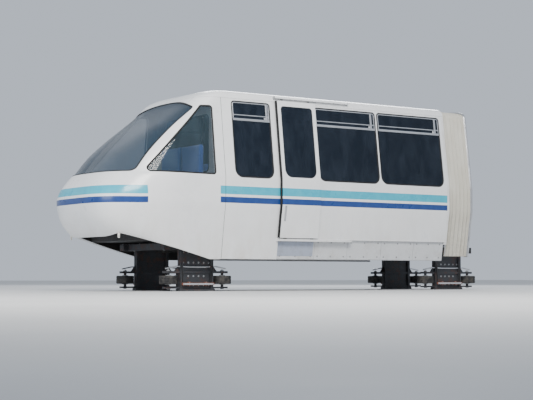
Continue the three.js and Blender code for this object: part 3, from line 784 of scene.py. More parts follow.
# skirts: recessed painted panels in lengths, with a rolled hem and fixings
for side, s in SIDES:
    y0, y1 = half(s)
    sk = skin(30, 40, (40.4, X_LEDGE_END - .4, y0, y1, Z_SKIRT, Z_LEDGE - .4), [SKIRT, SKIRT], 0)
    cuts = (610, 1220, 1830, 2410)
    for c in cuts:
        boolean(sk, box_obj(c - 2.5, c + 2.5, y0, y1, 400, 800, [SKIRT]))
    finish_mesh(sk, "skirt_panels_" + side, "car", ["skirt_" + side])
    b = Build(SKIRT, BOLT, RUBBER)
    hem = [(-1, -3), (9, -3), (12, 0), (12, 4), (9, 6.5), (-1, 6.5)]
    ends = (45,) + cuts + (X_LEDGE_END - 4,)
    for i in range(len(ends) - 1):
        xs = np.linspace(ends[i] + 4, ends[i + 1] - 4, 14)
        P = [(x, s * side_y(x, 444, 30), 444) for x in xs]
        N = [side_normal(x, 444, s, 30) for x in xs]
        b.sweep(P, N, [(c - 5, o) for c, o in hem], closed=False)
        for x in np.linspace(ends[i] + 60, ends[i + 1] - 60, 3):
            for z in (478, 672):
                b.bolt((x, s * (side_y(x, z, 30) - .5), z), "y", s, 8, 5, 1)
    b.obj("skirt_hem_" + side, "car", "skirt_grey")
    # ledge lip along the bottom of the side moulding, with the drip edge
    b = Build(WHITE, RUBBER)
    xs = np.linspace(44, X_LEDGE_END - 6, 50)
    b.sweep([(x, s * side_y(x, 712, 0), 712) for x in xs], [side_normal(x, 712, s) for x in xs],
            [(-6, -34), (-6, 1.5), (-3, 3.5), (3, 3.5), (6, 1.5), (6, -2), (0, -4), (0, -34)], closed=False)
    b.obj("ledge_lip_" + side, "car", "body_white")
    # step patch below the doorway: a bluish-grey strip with a tread bar
    b = Build(PATCH, ALU)
    px0, px1 = 2436, 3046
    xs = np.linspace(px0, px1, 12)
    b.sweep([(x, s * side_y(x, 585, 30), 585) for x in xs], [side_normal(x, 585, s, 30) for x in xs],
            [(-108, -1), (-108, 1.6), (-104, 3), (104, 3), (108, 1.6), (108, -1)], closed=False)
    b.sweep([(x, s * side_y(x, 716, 0), 716) for x in np.linspace(2470, 3012, 10)], [side_normal(x, 716, s) for x in np.linspace(2470, 3012, 10)],
            [(-5, -1), (-5, 5), (-3, 7), (3, 7), (5, 5), (5, -1)], closed=False, mat=1)
    b.obj("step_patch_" + side, "car", "skirt_grey")
    # seams: sealed joints and the gutter strip along the roof edge
    b = Build(RUBBER, WHITE, ALU)
    bead = [(-4, -6), (-4, -1.2), (0, -.4), (4, -1.2), (4, -6)]
    P, N = [], []
    for z in np.linspace(440, 2596, 60):
        P.append((X_SEAM, s * side_y(X_SEAM, z), z))
        N.append(side_normal(X_SEAM, z, s))
    b.sweep(P, N, bead, closed=False)
    xs = np.linspace(4, 4060, 70)
    b.sweep([(x, s * side_y(x, 2600), 2600) for x in xs], [side_normal(x, 2600, s) for x in xs], [(-3, -6), (-3, -1), (3, -1), (3, -6)], closed=False)
    gut = [(-9, -5), (-9, 3), (-6, 8), (-2, 9), (-2, 3), (4, 2), (9, -5)]
    xs = np.linspace(8, 4010, 70)
    b.sweep([(x, s * side_y(x, 2676), 2676) for x in xs], [Vector((0, s * .8, .6)) for x in xs], gut, closed=False, mat=1)
    b.obj("body_seams_" + side, "car", "black_rubber")

# ------------------------------------------------------------------ glazing with its rubbers, and the hopper frames
SEAL = [(-13, -9), (-13, -3.6), (-11, -1.0), (-7, .9), (0, 2.4), (5, 2.4), (8, .6), (8, -.8), (1.5, -1.5), (.6, -9)]
for side, s in SIDES:
    lim = (300, BIG) if s > 0 else (-BIG, -300)
    b = Build(RUBBER)
    for name, x0, x1 in WINDOWS:
        pane = skin(5, 13, (x0 - 50, x1 + 50, *half(s), SILL - 50, WINTOP + 50), [GLASS], 0, 0, 0)
        boolean(pane, prism_obj(WIN(x0, x1, SILL, WINTOP, .4), *lim, "y", [GLASS]), "INTERSECT")
        finish_mesh(pane, name + "_pane_" + side, "car", [name + "_" + side])
        P, N = side_path(WIN(x0, x1, SILL, WINTOP), s)
        cx, cz = (x0 + x1) / 2, (SILL + WINTOP) / 2
        b.sweep(P, N, SEAL, centre=(cx, s * side_y(cx, cz), cz))
    quarter = skin(5, 13, (3970, 5300, *half(s), 1500, 2550), [CAB_GLASS], 0, 0, 0)
    qc = (sum(p[0] for p in QUARTER) / 5, sum(p[1] for p in QUARTER) / 5)
    boolean(quarter, prism_obj([(qc[0] + (x - qc[0]) * .998, qc[1] + (z - qc[1]) * .998) for x, z in q_loop], *lim, "y", [CAB_GLASS]), "INTERSECT")
    finish_mesh(quarter, "quarter_pane_" + side, "car", ["quarter_glass_" + side])
    P, N = side_path(q_loop, s, 0, 22)
    b.sweep(P, N, SEAL, centre=(qc[0], s * side_y(*qc), qc[1]))
    b.obj("window_rubbers_" + side, "car", "black_rubber")

    # sliding top lights: an aluminium frame in the upper part of three windows, with a second pane line and a catch
    b = Build(ALU, ALU_Z, RUBBER)
    for name, x0, x1 in WINDOWS:
        zb, zt = 2318, WINTOP - 10
        bar = [(-15, -6), (-15, .8), (-12, 2.4), (12, 2.4), (15, .8), (15, -6)]
        thin = [(-6, -6), (-6, -.5), (-4, .8), (4, .8), (6, -.5), (6, -6)]
        rim = [(-13, -6), (-13, .2), (-10, 1.6), (-4, 1.6), (-1, .2), (-1, -6)]
        for zc, sec in ((zb, bar), (zb + 62, thin)):
            xs = np.linspace(x0 + 12, x1 - 12, 24)
            b.sweep([(x, s * side_y(x, zc, 0), zc) for x in xs], [side_normal(x, zc, s) for x in xs], sec, closed=False)
        loop = rounded([(x0 + 12, zb - 8), (x1 - 12, zb - 8), (x1 - 12, zt), (x0 + 12, zt)], (6, 6, 34, 34))
        P, N = side_path(loop, s)
        b.sweep(P, N, rim, centre=((x0 + x1) / 2, s * side_y((x0 + x1) / 2, zb + 100), zb + 100))
        xm, w = x0 + max(52, (x1 - x0) * .07), 15                   # catch at the rear end
        zs = np.linspace(zb, zt - 4, 8)
        b.sweep([(xm, s * side_y(xm, z), z) for z in zs], [side_normal(xm, z, s) for z in zs],
                [(-w, -6), (-w, .8), (-w + 3, 2.2), (w - 3, 2.2), (w, .8), (w, -6)], closed=False, mat=1)
        b.sweep([(xm + 34, s * side_y(xm, z), z) for z in (zb + 16, zb + 26, zb + 44)], [side_normal(xm, z, s) for z in (zb + 16, zb + 26, zb + 44)],
                [(-14, -4), (-14, 5), (-11, 8), (11, 8), (14, 5), (14, -4)], closed=False, mat=1)
    b.obj("top_light_frames_" + side, "car", "aluminium_frame")

screen = envelope(5, 3700, 300, [SCREEN, SCREEN])
boolean(screen, envelope(13, 3600, 250, [SCREEN, SCREEN]))
boolean(screen, prism_obj(ws_outline(.4), 3960, 6500, "x", [SCREEN]), "INTERSECT")
finish_mesh(screen, "windscreen_pane", "car", ["windscreen"])
b = Build(RUBBER, DARK, ALU)
P, N = front_path(ws_loop)
b.sweep(P, N, SEAL, centre=(front_x(0, 2000), 0, 2000))
b.obj("windscreen_rubber", "car", "black_rubber")


# ------------------------------------------------------------------ sliding doors with their rails and guides
DW = lambda g=0: rounded([(DOOR["x0"] + 58 + g, 1552 + g), (DOOR["x1"] - 52 - g, 1552 + g), (DOOR["x1"] - 52 - g, 2545 - g),
                          (DOOR["x0"] + 58 + g, 2545 - g)], (RB - g, RB - g, RT - g, RT - g))
for side, s in SIDES:
    lim = (300, BIG) if s > 0 else (-BIG, -300)
    body = side + "_door"
    leaf = skin(-DOOR["out"], -DOOR["gap"], (DOOR["x0"] - 20, DOOR["x1"] + 20, *half(s), DOOR["z0"] - 9, DOOR["z1"] + 9), SHELL, -600, 0, 1)
    outline = rounded([(DOOR["x0"] + .5, DOOR["z0"] + .5), (DOOR["x1"] - .5, DOOR["z0"] + .5), (DOOR["x1"] - .5, DOOR["z1"] - .5),
                       (DOOR["x0"] + .5, DOOR["z1"] - .5)], (14, 14, 22, 22))
    boolean(leaf, prism_obj(outline, *lim, "y", SHELL), "INTERSECT")
    boolean(leaf, prism_obj(DW(), *lim, "y", SHELL))
    finish_mesh(leaf, "door_leaf_" + side, body, ["door_" + side])
    pane = skin(-36, -28, (DOOR["x0"] + 30, DOOR["x1"] - 30, *half(s), 1500, 2590), [GLASS], -600, 0, 0)
    boolean(pane, prism_obj(DW(.4), *lim, "y", [GLASS]), "INTERSECT")
    finish_mesh(pane, "door_pane_" + side, body, ["door_glass_" + side])
    b = Build(RUBBER, ALU, DARK, BOLT)
    P, N = side_path(DW(), s, -36)
    mid = ((DOOR["x0"] + DOOR["x1"]) / 2, s * side_y(2700, 2040, -36), 2040)
    b.sweep(P, N, [(c, o) for c, o in SEAL], centre=mid)
    # raised rim just inside the outline
    inner = rounded([(DOOR["x0"] + 13, DOOR["z0"] + 13), (DOOR["x1"] - 9, DOOR["z0"] + 13), (DOOR["x1"] - 9, DOOR["z1"] - 12),
                     (DOOR["x0"] + 13, DOOR["z1"] - 12)], (16, 16, 20, 20))
    P, N = side_path(inner, s, -DOOR["out"])
    b.sweep(P, N, [(-2.4, -3), (-2.4, -.9), (0, -.1), (2.4, -.9), (2.4, -3)], centre=mid)
    b.obj("door_rubbers_" + side, body, "black_rubber")
    b = Build(ALU_Z, DARK, BOLT)
    hx, hz0, hz1 = DOOR["x1"] - 58, 985, 1130
    out = lambda z, o: s * side_y(hx, z, -DOOR["out"] - o)
    zs = np.linspace(hz0 - 32, hz1 + 32, 12)
    b.sweep([(hx, out(z, 0), z) for z in zs], [side_normal(hx, z, s) for z in zs],
            [(-17, -.5), (-17, .6), (-15, 1.2), (15, 1.2), (17, .6), (17, -.5)], closed=False)
    for z in (hz0, hz1):
        b.sweep([(hx, out(z, o), z) for o in (-1, .8, 2.4)], [Vector((1, 0, 0))] * 3, [(6 * math.cos(t), 6 * math.sin(t)) for t in np.linspace(0, 2 * math.pi, 12, endpoint=False)], closed=False)
    zs = np.linspace(hz0 - 10, hz1 + 10, 8)
    b.sweep([(hx, out(z, 2.1), z) for z in zs], [side_normal(hx, z, s) for z in zs],
            [(-6, -1.5), (-6, .8), (-4, 1.6), (4, 1.6), (6, .8), (6, -1.5)], closed=False)
    for z in (hz0 - 24, hz1 + 24):
        b.bolt((hx, out(z, .5), z), "y", s, 4, 2.2, 2)
    b.obj("door_handle_" + side, body, "aluminium_frame")
    # leading edge: D rubber with two grooves
    zs = np.linspace(DOOR["z0"] + 5, DOOR["z1"] - 5, 60)
    ex = DOOR["x1"] + 13
    b = Build(EDGE)
    b.sweep([(ex, s * side_y(ex, z, -25), z) for z in zs], [side_normal(ex, z, s) for z in zs],
            [(-12.4, -14.5), (-12.4, 14.5), (-7, 14.8), (-6, 12.6), (-4, 12.6), (-3, 14.4), (3, 13.4), (4, 11), (6, 10.4), (7, 11.8), (12.4, 6),
             (12.8, 0), (12.4, -6), (7, -12), (0, -14.5)], closed=False, centre=(ex - 300, s * side_y(ex, 1500, -25), DOOR["z0"]))
    b.obj("door_edge_rubber_" + side, body, "black_rubber", ["door_edge_" + side])
    # top rail: a channel open below, end caps, screws; hangers ride with the leaf inside it
    rx0, rx1, rz = RAIL["x0"], RAIL["x1"], DOOR["z1"] + 27
    xs = np.linspace(rx0 + 9, rx1 - 9, 40)
    chan = [(-19, 1), (18.6, 1), (18.6, 44), (15, 47.4), (-19, 47.4), (-19, 34), (-15.5, 34), (-15.5, 43.5), (14.5, 43.5), (14.5, 5), (-15.5, 5), (-15.5, 14), (-19, 14)]
    b = Build(WHITE, GREY, BOLT)
    path = [(x, s * side_y(x, rz, 0), rz) for x in xs]
    nrm = [side_normal(x, rz, s) for x in xs]
    b.sweep(path, nrm, chan, closed=False, centre=(rx0, path[0][1], 0))
    for xa, xb in ((rx0 + .4, rx0 + 9), (rx1 - 9, rx1 - .4)):
        b.sweep([(x, s * side_y(x, rz, 0), rz) for x in (xa, (xa + xb) / 2, xb)], [side_normal(x, rz, s) for x in (xa, (xa + xb) / 2, xb)],
                [(-18.8, 1.2), (18.4, 1.2), (18.4, 44), (15, 47), (-18.8, 47)], closed=False, mat=1, centre=(rx0, path[0][1], 0))
    for x in np.linspace(rx0 + 70, rx1 - 70, 7):
        b.bolt((x, s * side_y(x, rz + 4, -46.8), rz + 4), "y", s, 4, 1.2, 2)
    b.obj("door_top_rail_" + side, "car", "body_white", ["door_rail_" + side])
    b = Build(BOLT, DARK)
    for x in (DOOR["x0"] + 95, DOOR["x1"] - 95):
        y = lambda o, z: s * side_y(x, z, -o)
        for o in (22.5,):
            b.sweep([(x, y(o, z), z) for z in (2604, 2622, 2640)], [side_normal(x, 2610, s)] * 3, [(-17, -2), (-17, 2), (17, 2), (17, -2)], closed=False)
        for dx in (-11, 11):
            c = Vector((x + dx, y(22.5, 2640), 2644))
            b.lathe([(.3, -6.5), (8.5, -6.5), (9.5, -5.5), (9.5, -3.2), (.3, -3.2)], c, "y", 20, 1)
            b.lathe([(.3, 3.2), (9.5, 3.2), (9.5, 5.5), (8.5, 6.5), (.3, 6.5)], c, "y", 20, 1)
    b.obj("door_hangers_" + side, body, "aluminium_frame")
    # bottom guide: a white-edged channel open upward, and its blocks on the leaf
    b = Build(WHITE, ALU, DARK)
    xs = np.linspace(rx0 + 1, rx1 - 1, 40)
    path = [(x, s * side_y(x, 699.5, 0), 699.5) for x in xs]
    nrm = [side_normal(x, 699.5, s) for x in xs]
    b.sweep(path, nrm, [(-15.3, -9.5), (-15.3, 44), (-12, 47.6), (15.3, 47.6), (15.3, 34), (-9, 34), (-9, 18), (15.3, 18), (15.3, -9.5)], closed=False, centre=(rx0, path[0][1], 0))
    b.sweep(path, nrm, [(-8.8, 18.6), (-8.8, 33.4), (-7, 33.4), (-7, 18.6)], closed=False, mat=1, centre=(rx0, path[0][1], 0))
    for xa in (rx0 + 24, rx1 - 24):
        b.bolt((xa, s * side_y(xa, 700, -47.3), 700), "y", s, 5, 1.4, 1)
    b.obj("door_guide_" + side, "car", "body_white")
    b = Build(DARK)
    for x in (DOOR["x0"] + 95, DOOR["x1"] - 95):
        zs = (700, 712, 726)
        b.sweep([(x, s * side_y(x, z, -26), z) for z in zs], [side_normal(x, 710, s)] * 3, [(-26, -3.5), (-26, 3.5), (-23, 4.5), (23, 4.5), (26, 3.5), (26, -3.5), (23, -4.5), (-23, -4.5)], closed=False)
    b.obj("door_guide_blocks_" + side, body, "black_rubber")
    # doorway: rubber lip round the wall opening
    dl = rounded([(DOORWAY["x0"], DOORWAY["z0"]), (DOORWAY["x1"], DOORWAY["z0"]), (DOORWAY["x1"], DOORWAY["z1"]), (DOORWAY["x0"], DOORWAY["z1"])], 60)
    b = Build(RUBBER, ALU)
    P, N = side_path(dl, s, 0)
    b.sweep(P, N, [(-8, -41), (-8, .6), (-5, 2.4), (3, 2.4), (6, .4), (.6, -1), (.6, -40), (-8, -41)][:-1], centre=((DOORWAY["x0"] + DOORWAY["x1"]) / 2, s * 950, 1600))
    b.obj("doorway_lip_" + side, "car", "black_rubber")

# ------------------------------------------------------------------ rear bulkhead, its glass, and the gangway
PLAIN = [BULK, INNER]
bulk = envelope(0, 0, None, PLAIN, 0)
boolean(bulk, box_obj(.4, 39.6, -BIG, BIG, 670.5, Z_SPLIT - 1, PLAIN), "INTERSECT")
plug = envelope(41, -700, 300, PLAIN, 0)                            # the part that closes the end of the roof
boolean(plug, box_obj(.4, 39.6, -BIG, BIG, Z_SPLIT - 20, 3000, PLAIN), "INTERSECT")
boolean(bulk, plug, "UNION")
back_loop = rounded([(-BACK["hw"], BACK["z0"]), (BACK["hw"], BACK["z0"]), (BACK["hw"], BACK["z1"]), (-BACK["hw"], BACK["z1"])], BACK["r"])
boolean(bulk, prism_obj(back_loop, -100, 200, "x", PLAIN))
boolean(bulk, box_obj(-100, 200, -91, 91, 889, 961, PLAIN))
finish_mesh(bulk, "bulkhead_moulding", "car", ["rear_bulkhead"])
b = Build(GLASS)
b.prism(rounded([(-BACK["hw"] + 1, BACK["z0"] + 1), (BACK["hw"] - 1, BACK["z0"] + 1), (BACK["hw"] - 1, BACK["z1"] - 1), (-BACK["hw"] + 1, BACK["z1"] - 1)], BACK["r"]),
        16.2, 23.8, "x", 1.2)
b.obj("back_pane", "car", "glazing", ["back_glass"])
b = Build(RUBBER, ALU, BOLT)
for x, sg in ((0.4, -1), (39.6, 1)):
    P = [(x, y, z) for y, z in subdivide(back_loop, 60)]
    b.sweep(P, [Vector((sg, 0, 0))] * len(P), [(-12, -14), (-12, -2), (-8, 1.4), (5, 1.8), (9, .2), (9, -1), (1, -2), (.6, -14)], centre=(x, 0, 2000))
for y, z in ((-760, 820), (760, 820), (-760, 1400), (760, 1400), (-700, 2300), (700, 2300), (-260, 780), (260, 780)):
    b.bolt((39.4, y, z), "x", 1, 9, 6, 2)
b.obj("bulkhead_fittings", "car", "black_rubber")

BX0, BX1, BZ0 = -452, -3, 500


def outline(off, z0=BZ0):
    """(y, z) round the rear section from the left foot over the roof to the right foot, moved inward by off"""
    r = rows(off, 300)
    z, y = r[:, 0], r[:, 1]
    keep = z > z0 + 1
    pts = [(float(np.interp(z0, z[:len(DENSE) + 1], y[:len(DENSE) + 1])), z0)] + [(a, b_) for a, b_ in zip(y[keep], z[keep])]
    low = [p for p in pts if p[1] < 2560]
    # even steps up the straight side, the dense rows over the roof
    zs = np.linspace(z0, 2560, 40)
    base = [(float(np.interp(q, [p[1] for p in pts if p[1] <= 2700], [p[0] for p in pts if p[1] <= 2700])), float(q)) for q in zs]
    top = [p for p in pts if p[1] > 2562]
    arcp = base + [(p[0], p[1]) for p in top]
    return arcp + [(-p[0], p[1]) for p in arcp[::-1]]


FOLDS, PER = 6, 12
rings, offs = [], []
nx = FOLDS * PER
for i in range(nx + 1):
    u = i / PER
    x = BX0 + 1 + (BX1 - BX0 - 2) * i / nx
    w = abs(math.sin(math.pi * u)) ** .8                            # 0 at the creases against the frames, 1 in the valleys
    rings.append((x, 28 + 44 * w, u))
verts, faces = [], []
for layer in (0, 1):
    for x, off, u in rings:
        pts = outline(off + layer * 2.4)
        n = len(pts)
        for j, (y, z) in enumerate(pts):
            v = j / (n - 1)
            sag = 2.2 * math.sin(7.1 * v * math.pi + 1.3 * u) * math.sin(math.pi * u) ** 2 + 1.2 * math.sin(23 * v + 5 * u)
            dx = 3.0 * math.sin(4.2 * v * math.pi + u * 1.7) * math.sin(math.pi * (x - BX0) / (BX1 - BX0))
            k = 1 - sag / max(300, math.hypot(y, z - 1500))
            zz = BZ0 + (z - BZ0) * (1 if z < 2560 else 1 - max(0, sag) / 4000)
            verts.append((x + dx, y * k, max(BZ0, zz)))
n, m = len(outline(30)), len(rings)
for i in range(m - 1):
    for j in range(n - 1):
        a = i * n + j
        q = (a, a + 1, a + n + 1, a + n)
        faces += [q[::-1], tuple(t + m * n for t in q)]
for i in range(m - 1):
    for j in (0, n - 1):
        a, c = i * n + j, (i + 1) * n + j
        faces.append((a, c, c + m * n, a + m * n))
for i in (0, m - 1):
    for j in range(n - 1):
        a = i * n + j
        faces.append((a, a + 1, a + 1 + m * n, a + m * n))
b = Build(BELLOWS)
b.add(verts, faces)
cloth = b.obj("bellows_cloth", "car", "bellows_fabric", ["bellows"], 60)
V = [Vector(p) for p in verts[:m * n]]
across = sum((V[(i + 1) * n + n // 4] - V[i * n + n // 4]).length for i in range(m - 1)) / 1000
along = sum((V[3 * n + j + 1] - V[3 * n + j]).length for j in range(n - 1)) / 1000
print("bellows flat", across, along)

# end frame of the gangway and the clamp strips that hold the cloth
ring = envelope(10, -700, 300, [ALU, ALU])
boolean(ring, envelope(92, -750, 250, [ALU, ALU]))
boolean(ring, box_obj(-473.9, -452.6, -BIG, BIG, 492, 3000, [ALU]), "INTERSECT")
finish_mesh(ring, "gangway_frame_rail", "car", ["gangway_frame"], 25)
b = Build(ALU, BOLT, RUBBER)
for xc, wid, off in ((-446, 5, 25), (-9, 5, 25)):
    pts = outline(off, 505)
    P = [(xc, y, z) for y, z in pts]
    N = []
    for i, (y, z) in enumerate(pts):
        a, c = pts[max(0, i - 1)], pts[min(len(pts) - 1, i + 1)]
        t = Vector((0, c[0] - a[0], c[1] - a[1])).normalized()
        nn = Vector((0, t.z, -t.y))
        N.append(nn if nn.dot(Vector((0, y, z - 1500))) > 0 else -nn)
    b.sweep(P, N, [(-wid, -1.5), (-wid, 1.2), (-wid + 1.5, 2.4), (wid - 1.5, 2.4), (wid, 1.2), (wid, -1.5)], closed=False)
    for z in range(560, 2500, 190):
        for s in (1, -1):
            b.bolt((xc, s * (float(np.interp(z, [p[1] for p in pts[:40]], [p[0] for p in pts[:40]])) + 2.2), z), "y", s, 3.2, 2.6, 1)
b.obj("bellows_clamps", "car", "aluminium_frame")

# ------------------------------------------------------------------ CAD nodes that stay in view: softened edges and real finishes
def dress(name, mat, width, angle=35, segments=2):
    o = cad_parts[name]
    o.data.materials.clear()
    o.data.materials.append(mat)
    w = o.modifiers.new("weld", "WELD")
    w.merge_threshold = .0002
    if width:
        v = o.modifiers.new("edges", "BEVEL")
        v.width, v.segments, v.limit_method, v.angle_limit = width / 1000, segments, "ANGLE", math.radians(angle)
        v.use_clamp_overlap = True
        v.harden_normals = False
    return o


dress("floor_frame", CHASSIS, 3)
dress("cab_partition", GREY, 4)
dress("driver_desk", DARK, 9, 30, 3)
dress("driver_seat_base", CHASSIS, 6)
for n in ("rear", "middle", "front"):
    dress("bench_" + n + "_base", GREY, 5)
for e, bx in BOGIES:
    dress(e + "_bogie_frame", BOGIE, 3.5)

# ------------------------------------------------------------------ underframe: cross members, pipes and cable trunking between the bogies
b = Build(CHASSIS, BOLT, RUBBER, ALU)
for x in (520, 1040, 1560, 2080, 2600, 3120, 3480):
    b.prism([(x - 40, 612), (x + 40, 612), (x + 40, 622), (x + 6, 622), (x + 6, 669), (x - 6, 669), (x - 6, 622), (x - 40, 622)], -636, 636, "y", 1.2)
    for s in (1, -1):
        b.prism([(x - 30, 622), (x + 30, 622), (x + 30, 668), (x - 30, 668)], *sorted((s * 600, s * 606)), "y", .8)
        for y in (648, 782):
            b.bolt((x, s * y * .995, 560.2), "z", -1, 9, 6, 1)
for s, y0 in ((1, 560), (-1, 560)):
    for k, r in enumerate((11, 8, 8)):
        y = s * (y0 - k * 30)
        b.tube([(350, y, 640), (900, y, 640), (2000, y, 640), (3200, y, 640), (3560, y, 640)], r, 10, 2 if k else 3)
    for x in (420, 1300, 1820, 2340, 2860, 3400):
        b.block(x - 12, x + 12, *sorted((s * (y0 + 16), s * (y0 - 74))), 624, 669, 2, 1)
for s in (1, -1):
    for x in np.linspace(380, 3560, 9):
        b.block(x - 28, x + 28, *sorted((s * 792, s * 836)), 650, 669, 2)
        b.bolt((x, s * 814, 650), "z", -1, 7, 5, 1)
b.obj("underframe_fittings", "car", "chassis_steel")

# floor covering and its ribs
b = Build(DARK, ALU, GREY)
b.block(560, 3430, -880, 880, 730.4, 733.4, 1)
for s in (1, -1):
    b.block(DOORWAY["x0"] + 8, DOORWAY["x1"] - 8, *sorted((s * 884, s * 925)), 733.8, 739, 1.2, 1)
    for k in range(4):
        b.block(DOORWAY["x0"] + 14, DOORWAY["x1"] - 14, *sorted((s * (889 + k * 9), s * (892.5 + k * 9))), 739.2, 740.8, .5, 1)
b.obj("floor_covering", "car", "interior_grey")
b = Build(ALU, GREY)
for s in (1, -1):
    for x in (2330, 3110):
        b.tube([(x, s * 800, 734), (x, s * 800, 1500), (x, s * 790, 2300), (x, s * 760, 2620)], 16, 14)
        b.lathe([(.5, 0), (34, 0), (34, 4), (18, 9), (.5, 9)], (x, s * 800, 733.6), "z", 24)
b.tube([(620, 430, 2540), (1500, 430, 2545), (3380, 430, 2545)], 14, 12)
b.tube([(620, -430, 2540), (1500, -430, 2545), (3380, -430, 2545)], 14, 12)
for x in (640, 1500, 2400, 3360):
    for y in (430, -430):
        b.tube([(x, y, 2545), (x, y, 2600), (x, y, 2672)], 9, 10)
b.obj("grab_rails", "car", "aluminium_frame")

# ------------------------------------------------------------------ cab: desk fittings, partition trim, seat pedestal
b = Build(DARK, ALU, BOLT, GLASS, GREY)
b.prism([(4886, 1480.6), (4998, 1480.6), (4998, 1532), (4980, 1548), (4900, 1540), (4880, 1500)], -330, 330, "y", 5)
slope = math.atan2(1480 - 1370, 4877 - 4719)
for y, r in ((-210, 52), (-80, 40), (40, 40), (170, 52)):
    c = Vector((4882, y, 1515))
    b.lathe([(r, 0), (r, 5), (r - 3, 8), (r - 6, 8), (r - 6, 4), (.5, 4)], c, "x", 36, 1)
    b.lathe([(.5, -6.5), (2.5, -6.5), (2.5, 0), (.5, 0)], c, "x", 10, 1)
for i in range(9):
    y = -520 + i * 38 if i < 5 else 300 + (i - 5) * 38
    x = 4800
    z = 1370 + (x - 4719) * math.tan(slope)
    b.lathe([(14, -2), (14, 4), (12, 6), (10, 6), (9, 12), (7, 14), (.5, 14)], (x, y, z), "z", 20, 2 if i % 2 else 0)
b.lathe([(46, -2), (46, 4), (40, 8), (22, 10), (.5, 10)], (4800, 215, 1426), "z", 32, 1)
b.tube([(4800, 215, 1430), (4786, 215, 1470), (4770, 215, 1508)], 8, 12, 1)
b.lathe([(.5, -20), (14, -18), (20, -6), (20, 8), (14, 18), (.5, 21)], (4766, 215, 1520), "z", 24, 0)
b.block(4745, 4860, -150, 120, 1383, 1386, 1, 4, ((4745, 0, 1383), "Y", -slope))
b.obj("desk_fittings", "car", "interior_grey")
b = Build(RUBBER, ALU)
pl = rounded([(-560, 1620), (560, 1620), (560, 2400), (-560, 2400)], 60)
for xs_, sg in ((3930.6, -1), (3953.4, 1)):
    P = [(xs_, y, z) for y, z in subdivide(pl, 60)]
    b.sweep(P, [Vector((sg, 0, 0))] * len(P), [(-13, -11), (-13, .5), (-9, 3), (4, 3), (8, .5), (8, -.5), (.6, -1), (.6, -11)], centre=(xs_, 0, 2000))
b.obj("partition_trim", "car", "black_rubber")
b = Build(DARK, BOLT)
b.lathe([(92, 0), (92, 10), (60, 16), (54, 60), (60, 76), (.5, 76)], (4245, 0, 1031), "z", 40)
for k in range(6):
    a = k * math.pi / 3
    b.bolt((4245 + 78 * math.cos(a), 78 * math.sin(a), 1040), "z", 1, 7, 6, 1)
b.tube([(4370, -390, 1085), (4420, -390, 1085), (4450, -390, 1087), (4450, 390, 1087), (4420, 390, 1085), (4370, 390, 1085)], 7, 10)
b.obj("seat_slide", "car", "chassis_steel")


# ------------------------------------------------------------------ cushions
def puff(o, voxel, cap, pressure=4.0):
    """voxel remesh, a pressurised cloth run, each point's travel capped, one subdivision"""
    m = o.modifiers.new("r", "REMESH")
    m.mode, m.voxel_size = "VOXEL", voxel / 1000
    dg = bpy.context.evaluated_depsgraph_get()
    me = bpy.data.meshes.new_from_object(o.evaluated_get(dg))
    o.modifiers.clear()
    o.data = me
    rest = np.empty(len(me.vertices) * 3)
    me.vertices.foreach_get("co", rest)
    out = rest.copy()
    c = o.modifiers.new("c", "CLOTH")
    st = c.settings
    st.quality, st.mass, st.use_pressure, st.uniform_pressure_force = 5, .3, True, pressure
    st.tension_stiffness = st.compression_stiffness = 12
    st.shear_stiffness, st.bending_stiffness = 5, .8
    st.effector_weights.gravity = 0
    c.collision_settings.use_collision = False
    sc = bpy.context.scene
    sc.frame_start, sc.frame_end = 1, 20
    c.point_cache.frame_start, c.point_cache.frame_end = 1, 20
    for f in range(1, 21):
        sc.frame_set(f)
        bpy.context.view_layer.update()
    dg = bpy.context.evaluated_depsgraph_get()
    ev = o.evaluated_get(dg).to_mesh()
    if len(ev.vertices) == len(me.vertices):
        ev.vertices.foreach_get("co", out)
    o.evaluated_get(dg).to_mesh_clear()
    o.modifiers.clear()
    sc.frame_set(1)
    d = (out - rest).reshape(-1, 3)
    ln = np.linalg.norm(d, axis=1, keepdims=True)
    d *= np.minimum(1, (cap / 1000) / np.maximum(ln, 1e-9))
    me.vertices.foreach_set("co", (rest.reshape(-1, 3) + d).ravel())
    m = o.modifiers.new("s", "SUBSURF")
    m.levels = 1
    dg = bpy.context.evaluated_depsgraph_get()
    me2 = bpy.data.meshes.new_from_object(o.evaluated_get(dg))
    o.modifiers.clear()
    o.data = me2
    return o


def cushion(lx, ly, lz, r, voxel, cap, inset=7, channels=()):
    """a stuffed cushion around the origin, its corners rounded, crowned by the cloth run; channels are sewn lines across at these x or y"""
    b_ = Build(SEAT)
    x, y, z = lx / 2 - inset, ly / 2 - inset, lz / 2 - inset
    b_.v, b_.f, b_.i = [], [], []
    b_.block(-x + XM, x + XM, -y, y, -z, z, r)
    me = bpy.data.meshes.new("cushion")
    me.from_pydata([tuple(p) for p in row(b_.v)], [], b_.f)
    o = new_obj("cushion", me)
    puff(o, voxel, cap)
    v = np.empty(len(o.data.vertices) * 3)
    o.data.vertices.foreach_get("co", v)
    v = v.reshape(-1, 3) * 1000
    # sides drawn in between the corners, seams pressed in
    for axis, at, depth, wid in channels:
        d = np.abs(v[:, axis] - at)
        pull = depth * np.exp(-(d / wid) ** 2)
        v[:, 2] -= np.sign(v[:, 2]) * pull * np.clip(np.abs(v[:, 2]) / (lz / 2), 0, 1) * (v[:, 2] > 0)
    np.clip(v[:, 0], -lx / 2 + .3, lx / 2 - .3, out=v[:, 0])
    np.clip(v[:, 1], -ly / 2 + .3, ly / 2 - .3, out=v[:, 1])
    np.clip(v[:, 2], -lz / 2 + .3, lz / 2 - .3, out=v[:, 2])
    faces = [tuple(p.vertices) for p in o.data.polygons]
    bpy.data.objects.remove(o)
    return v, faces


